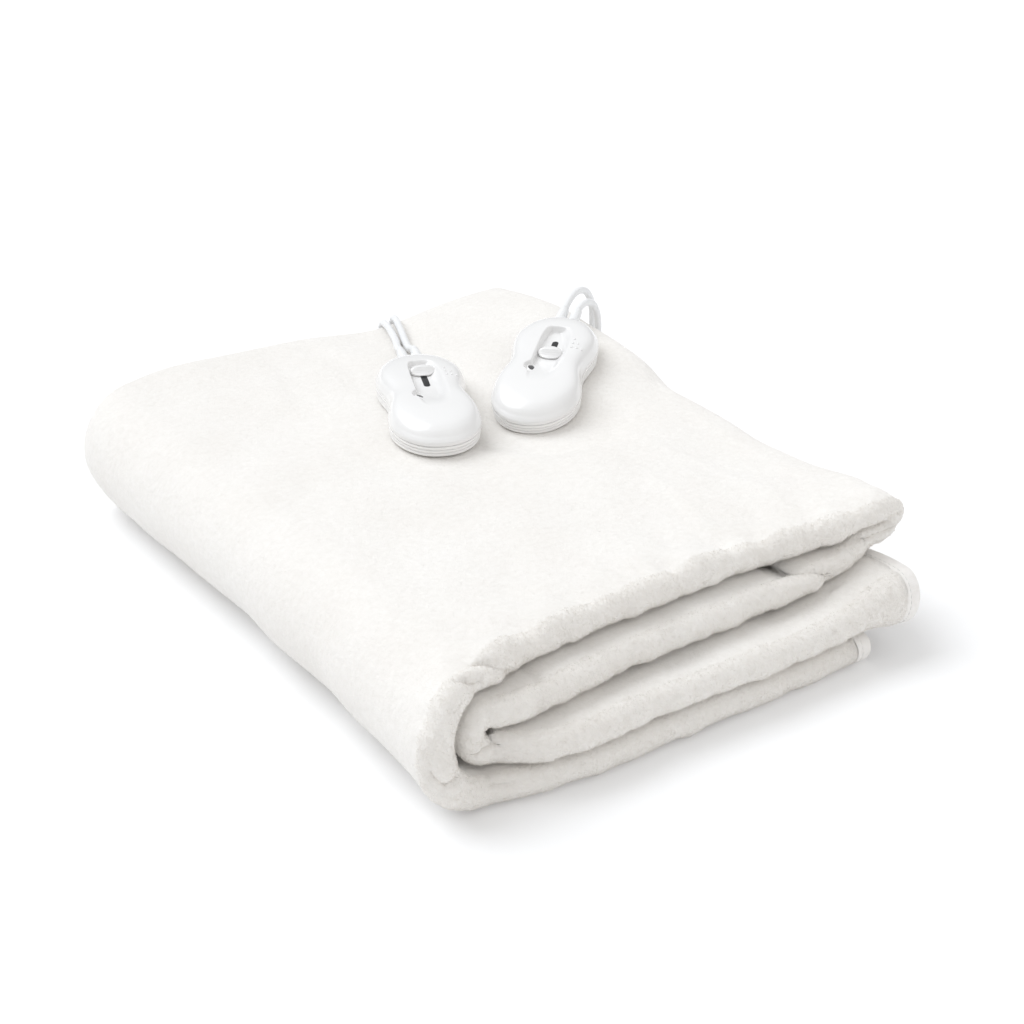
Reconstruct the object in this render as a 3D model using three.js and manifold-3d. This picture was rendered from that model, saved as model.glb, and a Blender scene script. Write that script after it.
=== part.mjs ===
// A double-bed electric underblanket, folded up for the shelf, with its two slide controllers lying on top.
// The cloth is one sheet. It is folded in half twice from its ends, which gives a pad of four layers, and the
// pad is folded in half twice again, which gives four strips on each other: floor, third, second and top.
// Units are millimetres, +Z is up, X runs along the strips and +Y is the far side.
import * as THREE from 'three';
import { mergeVertices } from 'three/addons/utils/BufferGeometryUtils.js';
import Module from 'manifold-3d';

const wasm = await Module();
wasm.setup();

// The folded bundle
const CENTRE = { x: 2, y: -4.51 };  // middle of the bundle's box, which becomes the origin
const STACK_HEIGHT = 84;        // four pads on each other, away from the swells below
const PAD_GAP = 1.2;            // between two pads
const FOLD_DEPTH = 470;         // a quarter of the sheet's length, from near fold to far edge
const CLOTH_THICKNESS = 4.3;    // the fleece at rest
const CLOTH_SHARE = 0.78;       // of the room that a pressed layer has, the rest is the gap to the next one
const OUTER_FOLD_X = -140;      // centre of the big fold from the floor strip round to the top strip
const INNER_FOLD_X = -135;      // centre of the fold from the second strip to the third, nested in the big one
const RIGHT_FOLD_X = 173;       // centre of the fold from the top strip down to the second
const OUTER_FOLD_EGG = 0.06;    // how much the big fold is drawn in below and out above
const OUTER_FOLD_SHIFT = -14;   // how far the big fold has slipped toward the near side
const NOSE_BULGE = 2.5;         // the big fold is fatter at its near end
const NOSE_REACH = 28;
const INNER_FOLD_INSET = 6.5;   // the inner layers turn behind the outer one at the near edge
const TAPE_WIDTH = 10;
const TAPE_SHARE = 0.86;
const PIECE_GAP = 0.3;
const REST_BAND = 1.2;          // cloth this close to the floor lies flat on it

// Where the near folds of the four strips lie, station by station along X
const NEAR_FOLDS = [
  { x: -164, floor: -245, third: -238, second: -245, top: -245 },
  { x: -140, floor: -255, third: -246, second: -247, top: -241 },
  { x: -112, floor: -260, third: -261, second: -249, top: -232 },
  { x: -84, floor: -262, third: -265, second: -245, top: -227 },
  { x: -47, floor: -261, third: -262, second: -240, top: -223 },
  { x: 0, floor: -260, third: -261, second: -236, top: -219 },
  { x: 56, floor: -257, third: -260, second: -232, top: -215 },
  { x: 103, floor: -255, third: -258, second: -231, top: -217 },
  { x: 140, floor: -253, third: -257, second: -227, top: -222 },
  { x: 168, floor: -253, third: -258, second: -221, top: -226 },
];
const FREE_ENDS = { floor: 129.7, third: 162 };   // where the cloth ends and its tape begins

// The far end of the big fold lies further out than its near end
const OUTER_FOLD_LEAN = [
  { y: -252, shift: 4.7 }, { y: -140, shift: 4.2 }, { y: -75, shift: 2.8 }, { y: 0, shift: 0 },
  { y: 56, shift: -5.6 }, { y: 159, shift: -12 }, { y: 243, shift: -10 },
];

// Soft swells and hollows of the top face, and of the faces between the strips
const TOP_SWELLS = [
  { x: 181, y: 168, reachX: 65, reachY: 100, lift: 19 },
  { x: 112, y: 112, reachX: 112, reachY: 112, lift: 3 },
  { x: 164, y: -100, reachX: 42, reachY: 56, lift: -3 },
  { x: 66, y: 245, reachX: 47, reachY: 56, lift: -8.5 },
  { x: -112, y: 245, reachX: 56, reachY: 56, lift: 4 },
  { x: 184, y: -200, reachX: 48, reachY: 50, lift: 9.5 },
];
const MIDDLE_SWELLS = [{ x: 173, y: -245, reachX: 47, reachY: 56, lift: 15 }];
const LOW_SWELLS = [{ x: 178, y: -238, reachX: 28, reachY: 280, lift: -8.5 }];
const LOW_SHARE = 0.245;
const MIDDLE_SHARE = 0.5;

// The controllers
const BODY_LENGTH = 146;
const BODY_WIDTH = 71;
const BODY_HEIGHT = 23.5;
const BODY_WAIST = 0.23;        // how far the sides are drawn in at the middle
const BODY_WAIST_REACH = 0.38;
const BASE_HEIGHT = 8;
const CONTROLLERS = {
  left: { x: 7, y: 61, z: 84.6, turn: -111, pitch: 0.8, knob: -31, travel: 18 },
  right: { x: 102.5, y: 54.5, z: 89.5, turn: -135.5, pitch: 8.3, knob: -9, travel: -18 },
};
const SEAT_GAP = 0.7;
const SEAT_MARGIN = 10;         // the cloth is pressed flat this far round a controller
const SEAT_FADE = 36;
const CHANNEL = { back: -44, front: 29, left: -9.5, right: 11, floor: 18, corner: 6 };
const SLOT = { back: -38, front: -3, across: 1.5, width: 5.4, depth: 5 };
const KNOB = { length: 13, width: 18, rise: 5.4, stemLength: 8, stemWidth: 4.6, lift: 0.4 };
const KNOB_RINGS = 4;
const KNOB_SIDES = 16;
const LAMP = { x: 19, y: -5, radius: 2.4, height: 2.2, sides: 12 };
const DOTS = { back: -26, pitch: 6, across: 16, rowPitch: 3.6, radius: 0.9, rise: 0.7 };

// Cords: each controller has a mains lead and a shorter lead to the blanket
const CORD_RADIUS = 2.85;
const CORD_SIDES = 8;
const RELIEF = { start: -73.35, length: 20.2, rootRadius: 4.6, tipRadius: 3.5, across: 5.2, height: 10 };
const COIL = { radius: 31.5, bottom: 1.6, columns: 4, rows: 2, sides: 28 };
const COILS = { left: { x: 15, y: 303 }, right: { x: 185, y: 303 } };
const TIE = { width: 8, thickness: 1, curveRoom: 0.95, turn: 230 };
const PLUG = { length: 34, width: 26, height: 18, taper: 22, tipRadius: 3.6, tail: 56 };
const PLUG_TURN = 0.14;
const PIN = { radius: 2, length: 19, pitch: 19, sides: 10 };
const GLAND = { depth: 13, width: 30, height: 13, taper: 12, tipRadius: 3.6, middle: 11 };
const GLANDS = { left: { x: 141, y: 188 }, right: { x: 141, y: 156 } };

// Routes of the cords' free stretches, from the strain relief to the coil or the gland
const ROUTES = {
  left_mains: [
    [35.9, 150.8, 95.9], [37.1, 153.8, 96], [39.5, 160, 93.8], [44, 169, 90.4], [49, 180, 87.4], [56, 195, 85.4], [64, 215, 83.4],
    [70, 232, 82.2], [74, 246, 81.2], [76, 253.5, 79.4], [77.5, 258.8, 75], [78.5, 262, 66], [79, 263, 50], [79, 264.5, 30],
    [77.5, 268, 17], [73, 274, 10.5], [66.5, 280.5, 8.6], [60, 288, 9.3], [56, 296, 10.1], [55.05, 303, 10.15],
  ],
  left_blanket: [
    [45.6, 147, 95.9], [46.8, 150.1, 96], [48, 156, 94], [51, 165, 90.8], [56, 177, 88], [63, 194, 86.1], [71, 213, 84.7],
    [78, 231, 83.9], [83.5, 246, 83.2], [86, 254, 81.2], [87.8, 259.4, 76], [89, 262.5, 66], [90.5, 263, 50], [93, 264, 30],
    [99, 264, 12.5], [110, 262.5, 4], [127, 259, 3.3], [148, 256, 3.3], [170, 252, 3.3], [188, 243, 3.3],
    [199, 228, 3.3], [201, 211, 3.3], [195, 198, 3.6], [183, 190, 6.6], [172, 188, 10.6], [166.3, 188, 11],
  ],
  right_mains: [
    [164.4, 122.6, 113], [166.7, 124.9, 113.5], [172, 130, 114.6], [181, 136.5, 117.2], [190, 141, 118.4], [199, 144.5, 115.3],
    [206, 147.5, 107], [210.5, 150.5, 94], [212.5, 153, 76], [213, 156, 52], [213, 160, 28], [213.3, 168, 11],
    [213.8, 183, 3.8], [215.5, 205, 3.3], [218.5, 232, 3.3], [221.5, 255, 3.8], [223.8, 275, 6.2], [224.9, 290, 9.4], [225.05, 303, 10.15],
  ],
  right_blanket: [
    [171.7, 115.2, 113], [174, 117.4, 113.5], [180, 121.5, 114.2], [188.5, 126.5, 113.3], [197, 130.5, 108.6], [203, 133.5, 98.5],
    [206, 136, 84], [207, 139, 64], [207, 143.5, 40], [205, 149.5, 19], [197, 153.5, 7.5], [184, 155.5, 7],
    [174, 156, 10.4], [166.3, 156, 11],
  ],
};
const CORD_STEPS = { left_mains: 19, left_blanket: 25, right_mains: 21, right_blanket: 14 };

const radians = THREE.MathUtils.degToRad;
const ease = (t) => THREE.MathUtils.smoothstep(t, 0, 1);

// A smooth curve through the rows of a table
function along(rows, key, name, at) {
  const last = rows.length - 1;
  const place = THREE.MathUtils.clamp(at, rows[0][key], rows[last][key]);
  let i = 0;
  while (i < last - 1 && place >= rows[i + 1][key]) i += 1;
  const slope = (k) => {
    const a = rows[Math.max(k - 1, 0)];
    const b = rows[Math.min(k + 1, last)];
    return (b[name] - a[name]) / (b[key] - a[key]);
  };
  const span = rows[i + 1][key] - rows[i][key];
  const t = (place - rows[i][key]) / span;
  return (2 * t ** 3 - 3 * t ** 2 + 1) * rows[i][name] + (t ** 3 - 2 * t ** 2 + t) * span * slope(i)
    + (3 * t ** 2 - 2 * t ** 3) * rows[i + 1][name] + (t ** 3 - t ** 2) * span * slope(i + 1);
}

function swelling(rows, x, y) {
  return rows.reduce((sum, s) => sum + s.lift
    * Math.exp(-(((x - s.x) / s.reachX) ** 2) - ((y - s.y) / s.reachY) ** 2), 0);
}

// The matrix of a controller, whose front end points along its own +X
function seatMatrix(c) {
  const turned = new THREE.Euler(0, radians(c.pitch), radians(c.turn), 'ZYX');
  return new THREE.Matrix4().makeRotationFromEuler(turned).setPosition(c.x, c.y, c.z);
}

// The cloth's top face is pressed to the plane of each controller's base
function pressed(height, x, y) {
  let out = height;
  for (const c of Object.values(CONTROLLERS)) {
    const turn = radians(c.turn);
    const dx = x - c.x;
    const dy = y - c.y;
    const u = dx * Math.cos(turn) + dy * Math.sin(turn);
    const v = -dx * Math.sin(turn) + dy * Math.cos(turn);
    const reach = Math.hypot(Math.max(Math.abs(u) - BODY_LENGTH / 2 + 30, 0),
      Math.max(Math.abs(v) - BODY_WIDTH / 2 + 30, 0)) - 30;
    const weight = 1 - ease((reach - SEAT_MARGIN) / SEAT_FADE);
    out += weight * (c.z - SEAT_GAP - Math.tan(radians(c.pitch)) * u - out);
  }
  return out;
}

// Heights of the faces between the strips, from the floor up
function levels(x, y) {
  const top = pressed(STACK_HEIGHT + swelling(TOP_SWELLS, x, y), x, y);
  const middle = MIDDLE_SHARE * top + swelling(MIDDLE_SWELLS, x, y);
  const low = LOW_SHARE * top + swelling(LOW_SWELLS, x, y);
  return [0, low, middle, (middle + top) / 2, top];
}

const ORDER = ['floor', 'third', 'second', 'top'];

// Middle height and thickness of a strip's pad
function pad(strip, x, y) {
  const faces = levels(x, y);
  const k = ORDER.indexOf(strip);
  const below = faces[k] + (k > 0 ? PAD_GAP / 2 : 0);
  const above = faces[k + 1] - (k < 3 ? PAD_GAP / 2 : 0);
  return { z: (below + above) / 2, thickness: above - below };
}

// The pad's way from one free end to the other: strips and folds in turn
const WAY = [
  { strip: 'floor', from: FREE_ENDS.floor, to: OUTER_FOLD_X, up: -1 },
  { fold: ['floor', 'top'], x: OUTER_FOLD_X, out: -1, egg: OUTER_FOLD_EGG, bulge: NOSE_BULGE, shift: OUTER_FOLD_SHIFT },
  { strip: 'top', from: OUTER_FOLD_X, to: RIGHT_FOLD_X, up: 1 },
  { fold: ['top', 'second'], x: RIGHT_FOLD_X, out: 1, egg: 0, bulge: 0, shift: 0 },
  { strip: 'second', from: RIGHT_FOLD_X, to: INNER_FOLD_X, up: -1 },
  { fold: ['second', 'third'], x: INNER_FOLD_X, out: -1, egg: 0, bulge: 0, shift: 0 },
  { strip: 'third', from: INNER_FOLD_X, to: FREE_ENDS.third, up: 1 },
];

// Point, normal and thickness of the pad's middle face at a share t of one part of the way
function padSection(part, t, y) {
  let x, z, nx, nz, thickness;
  if (part.strip) {
    x = part.from + (part.to - part.from) * t;
    const here = pad(part.strip, x, y);
    const slope = (pad(part.strip, x + 0.5, y).z - here.z) / 0.5;
    const run = Math.hypot(1, slope);
    ({ z, thickness } = here);
    nx = (-part.up * slope) / run;
    nz = part.up / run;
  } else {
    const a = pad(part.fold[0], part.x, y);
    const b = pad(part.fold[1], part.x, y);
    const turn = Math.PI * t;
    const radius = (b.z - a.z) / 2;
    const reach = part.out * Math.abs(radius);
    const w = ease(t);
    x = part.x + reach * Math.sin(turn) * (1 - part.egg * Math.cos(turn));
    z = (a.z + b.z) / 2 - radius * Math.cos(turn);
    const dx = reach * (Math.cos(turn) - part.egg * Math.cos(2 * turn));
    const dz = radius * Math.sin(turn);
    const run = Math.hypot(dx, dz);
    nx = -dz / run;
    nz = dx / run;
    thickness = a.thickness * (1 - w) + b.thickness * w
      + part.bulge * Math.sin(turn) * Math.exp(-(((y + FOLD_DEPTH * 0.548) / NOSE_REACH) ** 2));
  }
  x += along(OUTER_FOLD_LEAN, 'y', 'shift', y) * ease((75 - x) / 205);
  return { x, z, nx, nz, thickness };
}

// How far out the near fold lies at a share t of one part of the way
function nearFold(part, t) {
  if (part.strip) return along(NEAR_FOLDS, 'x', part.strip, part.from + (part.to - part.from) * t);
  const w = ease(t);
  const a = along(NEAR_FOLDS, 'x', part.fold[0], part.x);
  const b = along(NEAR_FOLDS, 'x', part.fold[1], part.x);
  const turn = Math.PI * t;
  return a * (1 - w) + b * w + part.shift * Math.sin(turn) * (0.6 - 0.4 * Math.cos(turn));
}

// The sheet's way through the pad: a layer toward the near fold, the outer near fold, a layer to the far fold, the
// far fold, a layer back, the inner near fold and a layer out. Gives y and the share of the pad's thickness.
function layerSection(part, t, near, thickness) {
  const far = near + FOLD_DEPTH;
  const outerReach = Math.min(0.375 * thickness, 12.2);
  const innerReach = 0.125 * thickness;
  const outerY = near + outerReach + CLOTH_THICKNESS / 2;
  const innerY = outerY + INNER_FOLD_INSET + 0.35 * Math.max(thickness - 22.4, 0);
  const farY = far - innerReach - CLOTH_THICKNESS / 2;
  const turn = Math.PI * t;
  const spread = t ** 1.2;
  const gather = 1 - (1 - t) ** 1.2;
  return [
    () => ({ y: far + (outerY - far) * gather, share: 1 / 8 }),
    () => ({ y: outerY - outerReach * Math.sin(turn), share: 0.5 - 0.375 * Math.cos(turn) }),
    () => ({ y: outerY + (farY - outerY) * spread, share: 7 / 8 }),
    () => ({ y: farY + innerReach * Math.sin(turn), share: 0.75 + 0.125 * Math.cos(turn) }),
    () => ({ y: farY + (innerY - farY) * gather, share: 5 / 8 }),
    () => ({ y: innerY - innerReach * Math.sin(turn), share: 0.5 + 0.125 * Math.cos(turn) }),
    () => ({ y: innerY + (far - innerY) * spread, share: 3 / 8 }),
  ][part]();
}

// A point of the sheet's middle face: s along the pad's way, q along the way through the pad, whole parts counted
function sheetPoint(s, q) {
  const i = THREE.MathUtils.clamp(Math.floor(s), 0, WAY.length - 1);
  const j = THREE.MathUtils.clamp(Math.floor(q), 0, 6);
  const near = nearFold(WAY[i], s - i);
  const nose = padSection(WAY[i], s - i, near + 11).thickness;
  const { y, share } = layerSection(j, q - j, near, nose);
  const p = padSection(WAY[i], s - i, y);
  const off = (share - 0.5) * p.thickness;
  return { at: new THREE.Vector3(p.x + p.nx * off, y, p.z + p.nz * off), room: p.thickness / 4 };
}

// Both faces of the sheet at one place
function sheetFaces(s, q, share) {
  const step = 1e-3;
  const lowQ = Math.max(q - step, 0);
  const highQ = Math.min(q + step, 7);
  const ds = sheetPoint(s + step, q).at.sub(sheetPoint(s - step, q).at);
  const dq = sheetPoint(s, highQ).at.sub(sheetPoint(s, lowQ).at);
  const { at, room } = sheetPoint(s, q);
  const half = Math.min(CLOTH_THICKNESS / 2 * (share / CLOTH_SHARE), share * room / 2);
  const normal = ds.cross(dq).normalize().multiplyScalar(half);
  return [at.clone().add(normal), at.clone().sub(normal)]
    .map((p) => (p.z < REST_BAND ? p.setZ(0) : p));
}

function signedVolume(positions, index) {
  const [a, b, c] = [new THREE.Vector3(), new THREE.Vector3(), new THREE.Vector3()];
  let sum = 0;
  for (let i = 0; i < index.length; i += 3) {
    a.fromArray(positions, 3 * index[i]);
    b.fromArray(positions, 3 * index[i + 1]);
    c.fromArray(positions, 3 * index[i + 2]);
    sum += a.dot(b.cross(c));
  }
  return sum / 6;
}

// A closed slab of cloth over a grid of stations
function clothSlab(stationsS, stationsQ, share) {
  const n = stationsS.length;
  const m = stationsQ.length;
  const positions = new Array(6 * n * m);
  stationsS.forEach((s, i) => stationsQ.forEach((q, j) => {
    const [a, b] = sheetFaces(s, q, share);
    a.toArray(positions, 3 * (i * m + j));
    b.toArray(positions, 3 * (n * m + i * m + j));
  }));
  const index = [];
  const quad = (a, b, c, d) => index.push(a, b, c, a, c, d);
  const at = (i, j, face) => face * n * m + i * m + j;
  for (let i = 0; i < n - 1; i += 1) {
    for (let j = 0; j < m - 1; j += 1) {
      quad(at(i, j, 0), at(i + 1, j, 0), at(i + 1, j + 1, 0), at(i, j + 1, 0));
      quad(at(i, j, 1), at(i, j + 1, 1), at(i + 1, j + 1, 1), at(i + 1, j, 1));
    }
  }
  for (let j = 0; j < m - 1; j += 1) {
    quad(at(0, j, 0), at(0, j + 1, 0), at(0, j + 1, 1), at(0, j, 1));
    quad(at(n - 1, j, 0), at(n - 1, j, 1), at(n - 1, j + 1, 1), at(n - 1, j + 1, 0));
  }
  for (let i = 0; i < n - 1; i += 1) {
    quad(at(i, 0, 0), at(i, 0, 1), at(i + 1, 0, 1), at(i + 1, 0, 0));
    quad(at(i, m - 1, 0), at(i + 1, m - 1, 0), at(i + 1, m - 1, 1), at(i, m - 1, 1));
  }
  if (signedVolume(positions, index) < 0) index.reverse();
  const geometry = new THREE.BufferGeometry();
  geometry.setAttribute('position', new THREE.Float32BufferAttribute(positions, 3));
  geometry.setIndex(index);
  return geometry;
}

// Whole parts split into steps
function stations(steps) {
  const out = [];
  steps.forEach((count, part) => {
    for (let k = 0; k < count; k += 1) out.push(part + k / count);
  });
  return [...out, steps.length];
}

const SHEET_S = stations([7, 8, 13, 6, 8, 6, 9]);
const SHEET_Q = stations([5, 6, 14, 3, 4, 3, 4]);

// A length in millimetres as a share of a strip's part of the way
const shareOf = (part, length) => length / Math.abs(WAY[part].to - WAY[part].from);

function blanketGeometry() {
  return clothSlab(SHEET_S, SHEET_Q, CLOTH_SHARE);
}

// The tape bound over a free end: it starts just past the cloth
function tapeGeometry(part) {
  const atStart = part === 0;
  const nearCloth = shareOf(part, PIECE_GAP);
  const out = shareOf(part, PIECE_GAP + TAPE_WIDTH);
  const steps = atStart ? [-out, -nearCloth] : [7 + nearCloth, 7 + out];
  return clothSlab(steps, SHEET_Q, TAPE_SHARE);
}

// A solid of stacked rings of equal point counts, closed by a middle point at both ends
function stackedRings(rings) {
  const count = rings[0].length;
  const positions = rings.flat().flatMap((p) => p.toArray());
  const index = [];
  for (let r = 0; r < rings.length - 1; r += 1) {
    for (let k = 0; k < count; k += 1) {
      const next = (k + 1) % count;
      const [a, b, c, d] = [r * count + k, r * count + next, (r + 1) * count + next, (r + 1) * count + k];
      index.push(a, b, c, a, c, d);
    }
  }
  const cap = (ring, up) => {
    const middle = positions.length / 3;
    const centre = rings[ring].reduce((sum, p) => sum.add(p), new THREE.Vector3()).divideScalar(count);
    positions.push(...centre.toArray());
    for (let k = 0; k < count; k += 1) {
      const [a, b] = [ring * count + k, ring * count + (k + 1) % count];
      index.push(...(up ? [a, b, middle] : [b, a, middle]));
    }
  };
  cap(0, false);
  cap(rings.length - 1, true);
  const geometry = new THREE.BufferGeometry();
  geometry.setAttribute('position', new THREE.Float32BufferAttribute(positions, 3));
  geometry.setIndex(index);
  return geometry;
}

// Outline of a controller seen from above: two round lobes with a waist
const OUTLINE_HALF = 16;
function bodyHalfWidth(u) {
  return (BODY_WIDTH / 2) * (1 - BODY_WAIST * Math.exp(-((u / BODY_WAIST_REACH) ** 2)))
    * Math.max(1 - Math.abs(u) ** 2.6, 0) ** (1 / 2.2);
}
function bodyRing(scale, z) {
  const ring = [];
  for (let k = 0; k < 2 * OUTLINE_HALF; k += 1) {
    const turn = (Math.PI * (k + 0.5)) / OUTLINE_HALF;
    const u = Math.cos(turn);
    const side = Math.sin(turn) > 0 ? 1 : -1;
    ring.push(new THREE.Vector3((BODY_LENGTH / 2) * u * scale, side * bodyHalfWidth(u) * scale, z));
  }
  return ring;
}
const BASE_RINGS = [
  { z: 0, scale: 0.94 }, { z: 1.5, scale: 0.975 }, { z: 4.6, scale: 0.985 }, { z: BASE_HEIGHT, scale: 0.99 },
];
const SHELL_RINGS = [
  { z: BASE_HEIGHT + PIECE_GAP, scale: 0.99 }, { z: 11.5, scale: 1 }, { z: 15, scale: 0.975 },
  { z: 18, scale: 0.925 }, { z: 20.6, scale: 0.845 }, { z: 22.4, scale: 0.72 }, { z: 23.3, scale: 0.52 },
  { z: BODY_HEIGHT, scale: 0.25 },
];

const toManifold = (geometry) => {
  const bare = geometry.clone();
  bare.deleteAttribute('normal');
  bare.deleteAttribute('uv');
  const merged = mergeVertices(bare, 1e-4);
  return new wasm.Manifold(new wasm.Mesh({
    numProp: 3,
    vertProperties: new Float32Array(merged.attributes.position.array),
    triVerts: new Uint32Array(merged.index.array),
  }));
};
const toGeometry = (solid) => {
  const mesh = solid.getMesh();
  const geometry = new THREE.BufferGeometry();
  geometry.setAttribute('position', new THREE.Float32BufferAttribute(mesh.vertProperties, 3));
  geometry.setIndex(Array.from(mesh.triVerts));
  return geometry;
};

// A block with rounded corners seen from above, standing on z
function roundedBlock(x0, x1, y0, y1, corner, z, height) {
  const shape = new THREE.Shape();
  shape.moveTo(x0 + corner, y0);
  shape.lineTo(x1 - corner, y0);
  shape.absarc(x1 - corner, y0 + corner, corner, -Math.PI / 2, 0);
  shape.lineTo(x1, y1 - corner);
  shape.absarc(x1 - corner, y1 - corner, corner, 0, Math.PI / 2);
  shape.lineTo(x0 + corner, y1);
  shape.absarc(x0 + corner, y1 - corner, corner, Math.PI / 2, Math.PI);
  shape.lineTo(x0, y0 + corner);
  shape.absarc(x0 + corner, y0 + corner, corner, Math.PI, 1.5 * Math.PI);
  return new THREE.ExtrudeGeometry(shape, { depth: height, bevelEnabled: false, curveSegments: 4 })
    .translate(0, 0, z);
}

function shellGeometry() {
  let solid = toManifold(stackedRings(SHELL_RINGS.map((r) => bodyRing(r.scale, r.z))));
  const above = 20;
  const channel = roundedBlock(CHANNEL.back, CHANNEL.front, CHANNEL.left, CHANNEL.right, CHANNEL.corner,
    CHANNEL.floor, above);
  const slot = roundedBlock(SLOT.back, SLOT.front, SLOT.across - SLOT.width / 2, SLOT.across + SLOT.width / 2,
    SLOT.width / 2 - 0.05, CHANNEL.floor - SLOT.depth, above);
  const lampSeat = new THREE.CylinderGeometry(LAMP.radius + PIECE_GAP, LAMP.radius + PIECE_GAP, above, LAMP.sides)
    .rotateX(Math.PI / 2).translate(LAMP.x, LAMP.y, CHANNEL.floor - LAMP.height + above / 2);
  for (const cut of [channel, slot, lampSeat]) solid = solid.subtract(toManifold(cut));
  // Level marks beside the channel: three rows of raised dots, one, two and three to a row
  for (let row = 0; row < 3; row += 1) {
    for (let k = 0; k <= row; k += 1) {
      const x = DOTS.back + row * DOTS.pitch;
      const y = DOTS.across + k * DOTS.rowPitch;
      const dot = new THREE.CylinderGeometry(DOTS.radius * 0.6, DOTS.radius, 4, 8)
        .rotateX(Math.PI / 2).translate(x, y, shellTop(x, y) + DOTS.rise - 2);
      solid = solid.add(toManifold(dot));
    }
  }
  return toGeometry(solid);
}

// Height of the shell's outside over a place, from the ring whose outline passes through it
function shellTop(x, y) {
  const u = x / (BODY_LENGTH / 2);
  const wanted = (ring) => {
    const inside = Math.abs(u) < ring.scale;
    return inside ? bodyHalfWidth(u / ring.scale) * ring.scale : 0;
  };
  for (let k = SHELL_RINGS.length - 1; k > 0; k -= 1) {
    const outer = wanted(SHELL_RINGS[k - 1]);
    const inner = wanted(SHELL_RINGS[k]);
    if (Math.abs(y) <= inner) return SHELL_RINGS[k].z;
    if (Math.abs(y) <= outer) {
      const t = (outer - Math.abs(y)) / (outer - inner);
      return SHELL_RINGS[k - 1].z + t * (SHELL_RINGS[k].z - SHELL_RINGS[k - 1].z);
    }
  }
  return SHELL_RINGS[0].z;
}

// The thumb knob: a low dome on a stem that runs in the slot
function knobGeometry(at) {
  const domeRings = [];
  for (let r = 0; r < KNOB_RINGS; r += 1) {
    const lift = (Math.PI / 2) * (r / KNOB_RINGS);
    const ring = [];
    for (let k = 0; k < KNOB_SIDES; k += 1) {
      const turn = (2 * Math.PI * k) / KNOB_SIDES;
      ring.push(new THREE.Vector3((KNOB.length / 2) * Math.cos(turn) * Math.cos(lift),
        (KNOB.width / 2) * Math.sin(turn) * Math.cos(lift), KNOB.rise * Math.sin(lift)));
    }
    domeRings.push(ring);
  }
  const cap = toManifold(stackedRings(domeRings)
    .translate(at, SLOT.across, CHANNEL.floor + KNOB.lift));
  const stemFloor = CHANNEL.floor - SLOT.depth + PIECE_GAP;
  const stem = roundedBlock(at - KNOB.stemLength / 2, at + KNOB.stemLength / 2,
    SLOT.across - KNOB.stemWidth / 2, SLOT.across + KNOB.stemWidth / 2, 1.5, stemFloor,
    CHANNEL.floor + 2 * KNOB.lift - stemFloor);
  return toGeometry(cap.add(toManifold(stem)));
}

function lampGeometry() {
  const profile = [
    new THREE.Vector2(0, 0), new THREE.Vector2(LAMP.radius, 0), new THREE.Vector2(LAMP.radius, LAMP.height),
    new THREE.Vector2(LAMP.radius * 0.6, LAMP.height + 0.7), new THREE.Vector2(0, LAMP.height + 0.9),
  ];
  return new THREE.LatheGeometry(profile, LAMP.sides).rotateX(Math.PI / 2)
    .translate(LAMP.x, LAMP.y, CHANNEL.floor - LAMP.height + PIECE_GAP);
}

// A round body about the X axis from rows of place and radius
function turned(rows, sides) {
  const profile = rows.map(([x, radius]) => new THREE.Vector2(radius, x));
  return new THREE.LatheGeometry(profile, sides).rotateZ(-Math.PI / 2);
}

// The tapered sleeve round a cord where it leaves a controller, its root against the shell's end
function reliefGeometry(across) {
  return turned([[0, 0], [0, RELIEF.tipRadius], [RELIEF.length - 3, RELIEF.rootRadius],
    [RELIEF.length, RELIEF.rootRadius], [RELIEF.length, 0]], 12)
    .translate(RELIEF.start - RELIEF.length, across, RELIEF.height);
}

const coilOuter = COIL.radius + COIL.columns * CORD_RADIUS;
const coilInner = COIL.radius - COIL.columns * CORD_RADIUS;
const coilTop = COIL.bottom + 2 * COIL.rows * CORD_RADIUS;

// The outer shape of a wound coil
function coilGeometry(c) {
  const round = CORD_RADIUS * 0.7;
  const profile = [
    [coilInner + round, COIL.bottom], [coilOuter - round, COIL.bottom], [coilOuter, COIL.bottom + round],
    [coilOuter, coilTop - round], [coilOuter - round, coilTop], [coilInner + round, coilTop],
    [coilInner, coilTop - round], [coilInner, COIL.bottom + round], [coilInner + round, COIL.bottom],
  ].map(([r, z]) => new THREE.Vector2(r, z));
  return new THREE.LatheGeometry(profile, COIL.sides).rotateX(Math.PI / 2).translate(c.x, c.y, 0);
}

// The band that holds a coil's turns together, with room for the curve of the coil's inner wall
function tieGeometry(c) {
  const block = (grow, width) => {
    const low = coilInner - TIE.curveRoom - grow;
    const high = coilOuter + PIECE_GAP + grow;
    return new THREE.BoxGeometry(high - low, width, coilTop - COIL.bottom + 2 * (PIECE_GAP + grow))
      .translate((low + high) / 2, 0, (coilTop + COIL.bottom) / 2);
  };
  const band = toManifold(block(TIE.thickness, TIE.width)).subtract(toManifold(block(0, 2 * TIE.width)));
  return toGeometry(band).rotateZ(radians(TIE.turn)).translate(c.x, c.y, 0);
}

// Clearance of a point from a coil's outer shape
function coilClearance(p, c) {
  const r = Math.hypot(p.x - c.x, p.y - c.y);
  const aside = Math.max(coilInner - r, r - coilOuter, 0);
  const above = Math.max(COIL.bottom - p.z, p.z - coilTop, 0);
  return Math.hypot(aside, above);
}

// Clearance from a coil of a cord cut square at a place on its route
function cutClearance(route, share, c) {
  const along = route.getTangentAt(share);
  const side = new THREE.Vector3(-along.y, along.x, 0).normalize();
  const middle = route.getPointAt(share);
  return Math.min(...[-1, 0, 1].map((k) =>
    coilClearance(middle.clone().addScaledVector(side, k * CORD_RADIUS), c)));
}

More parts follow.
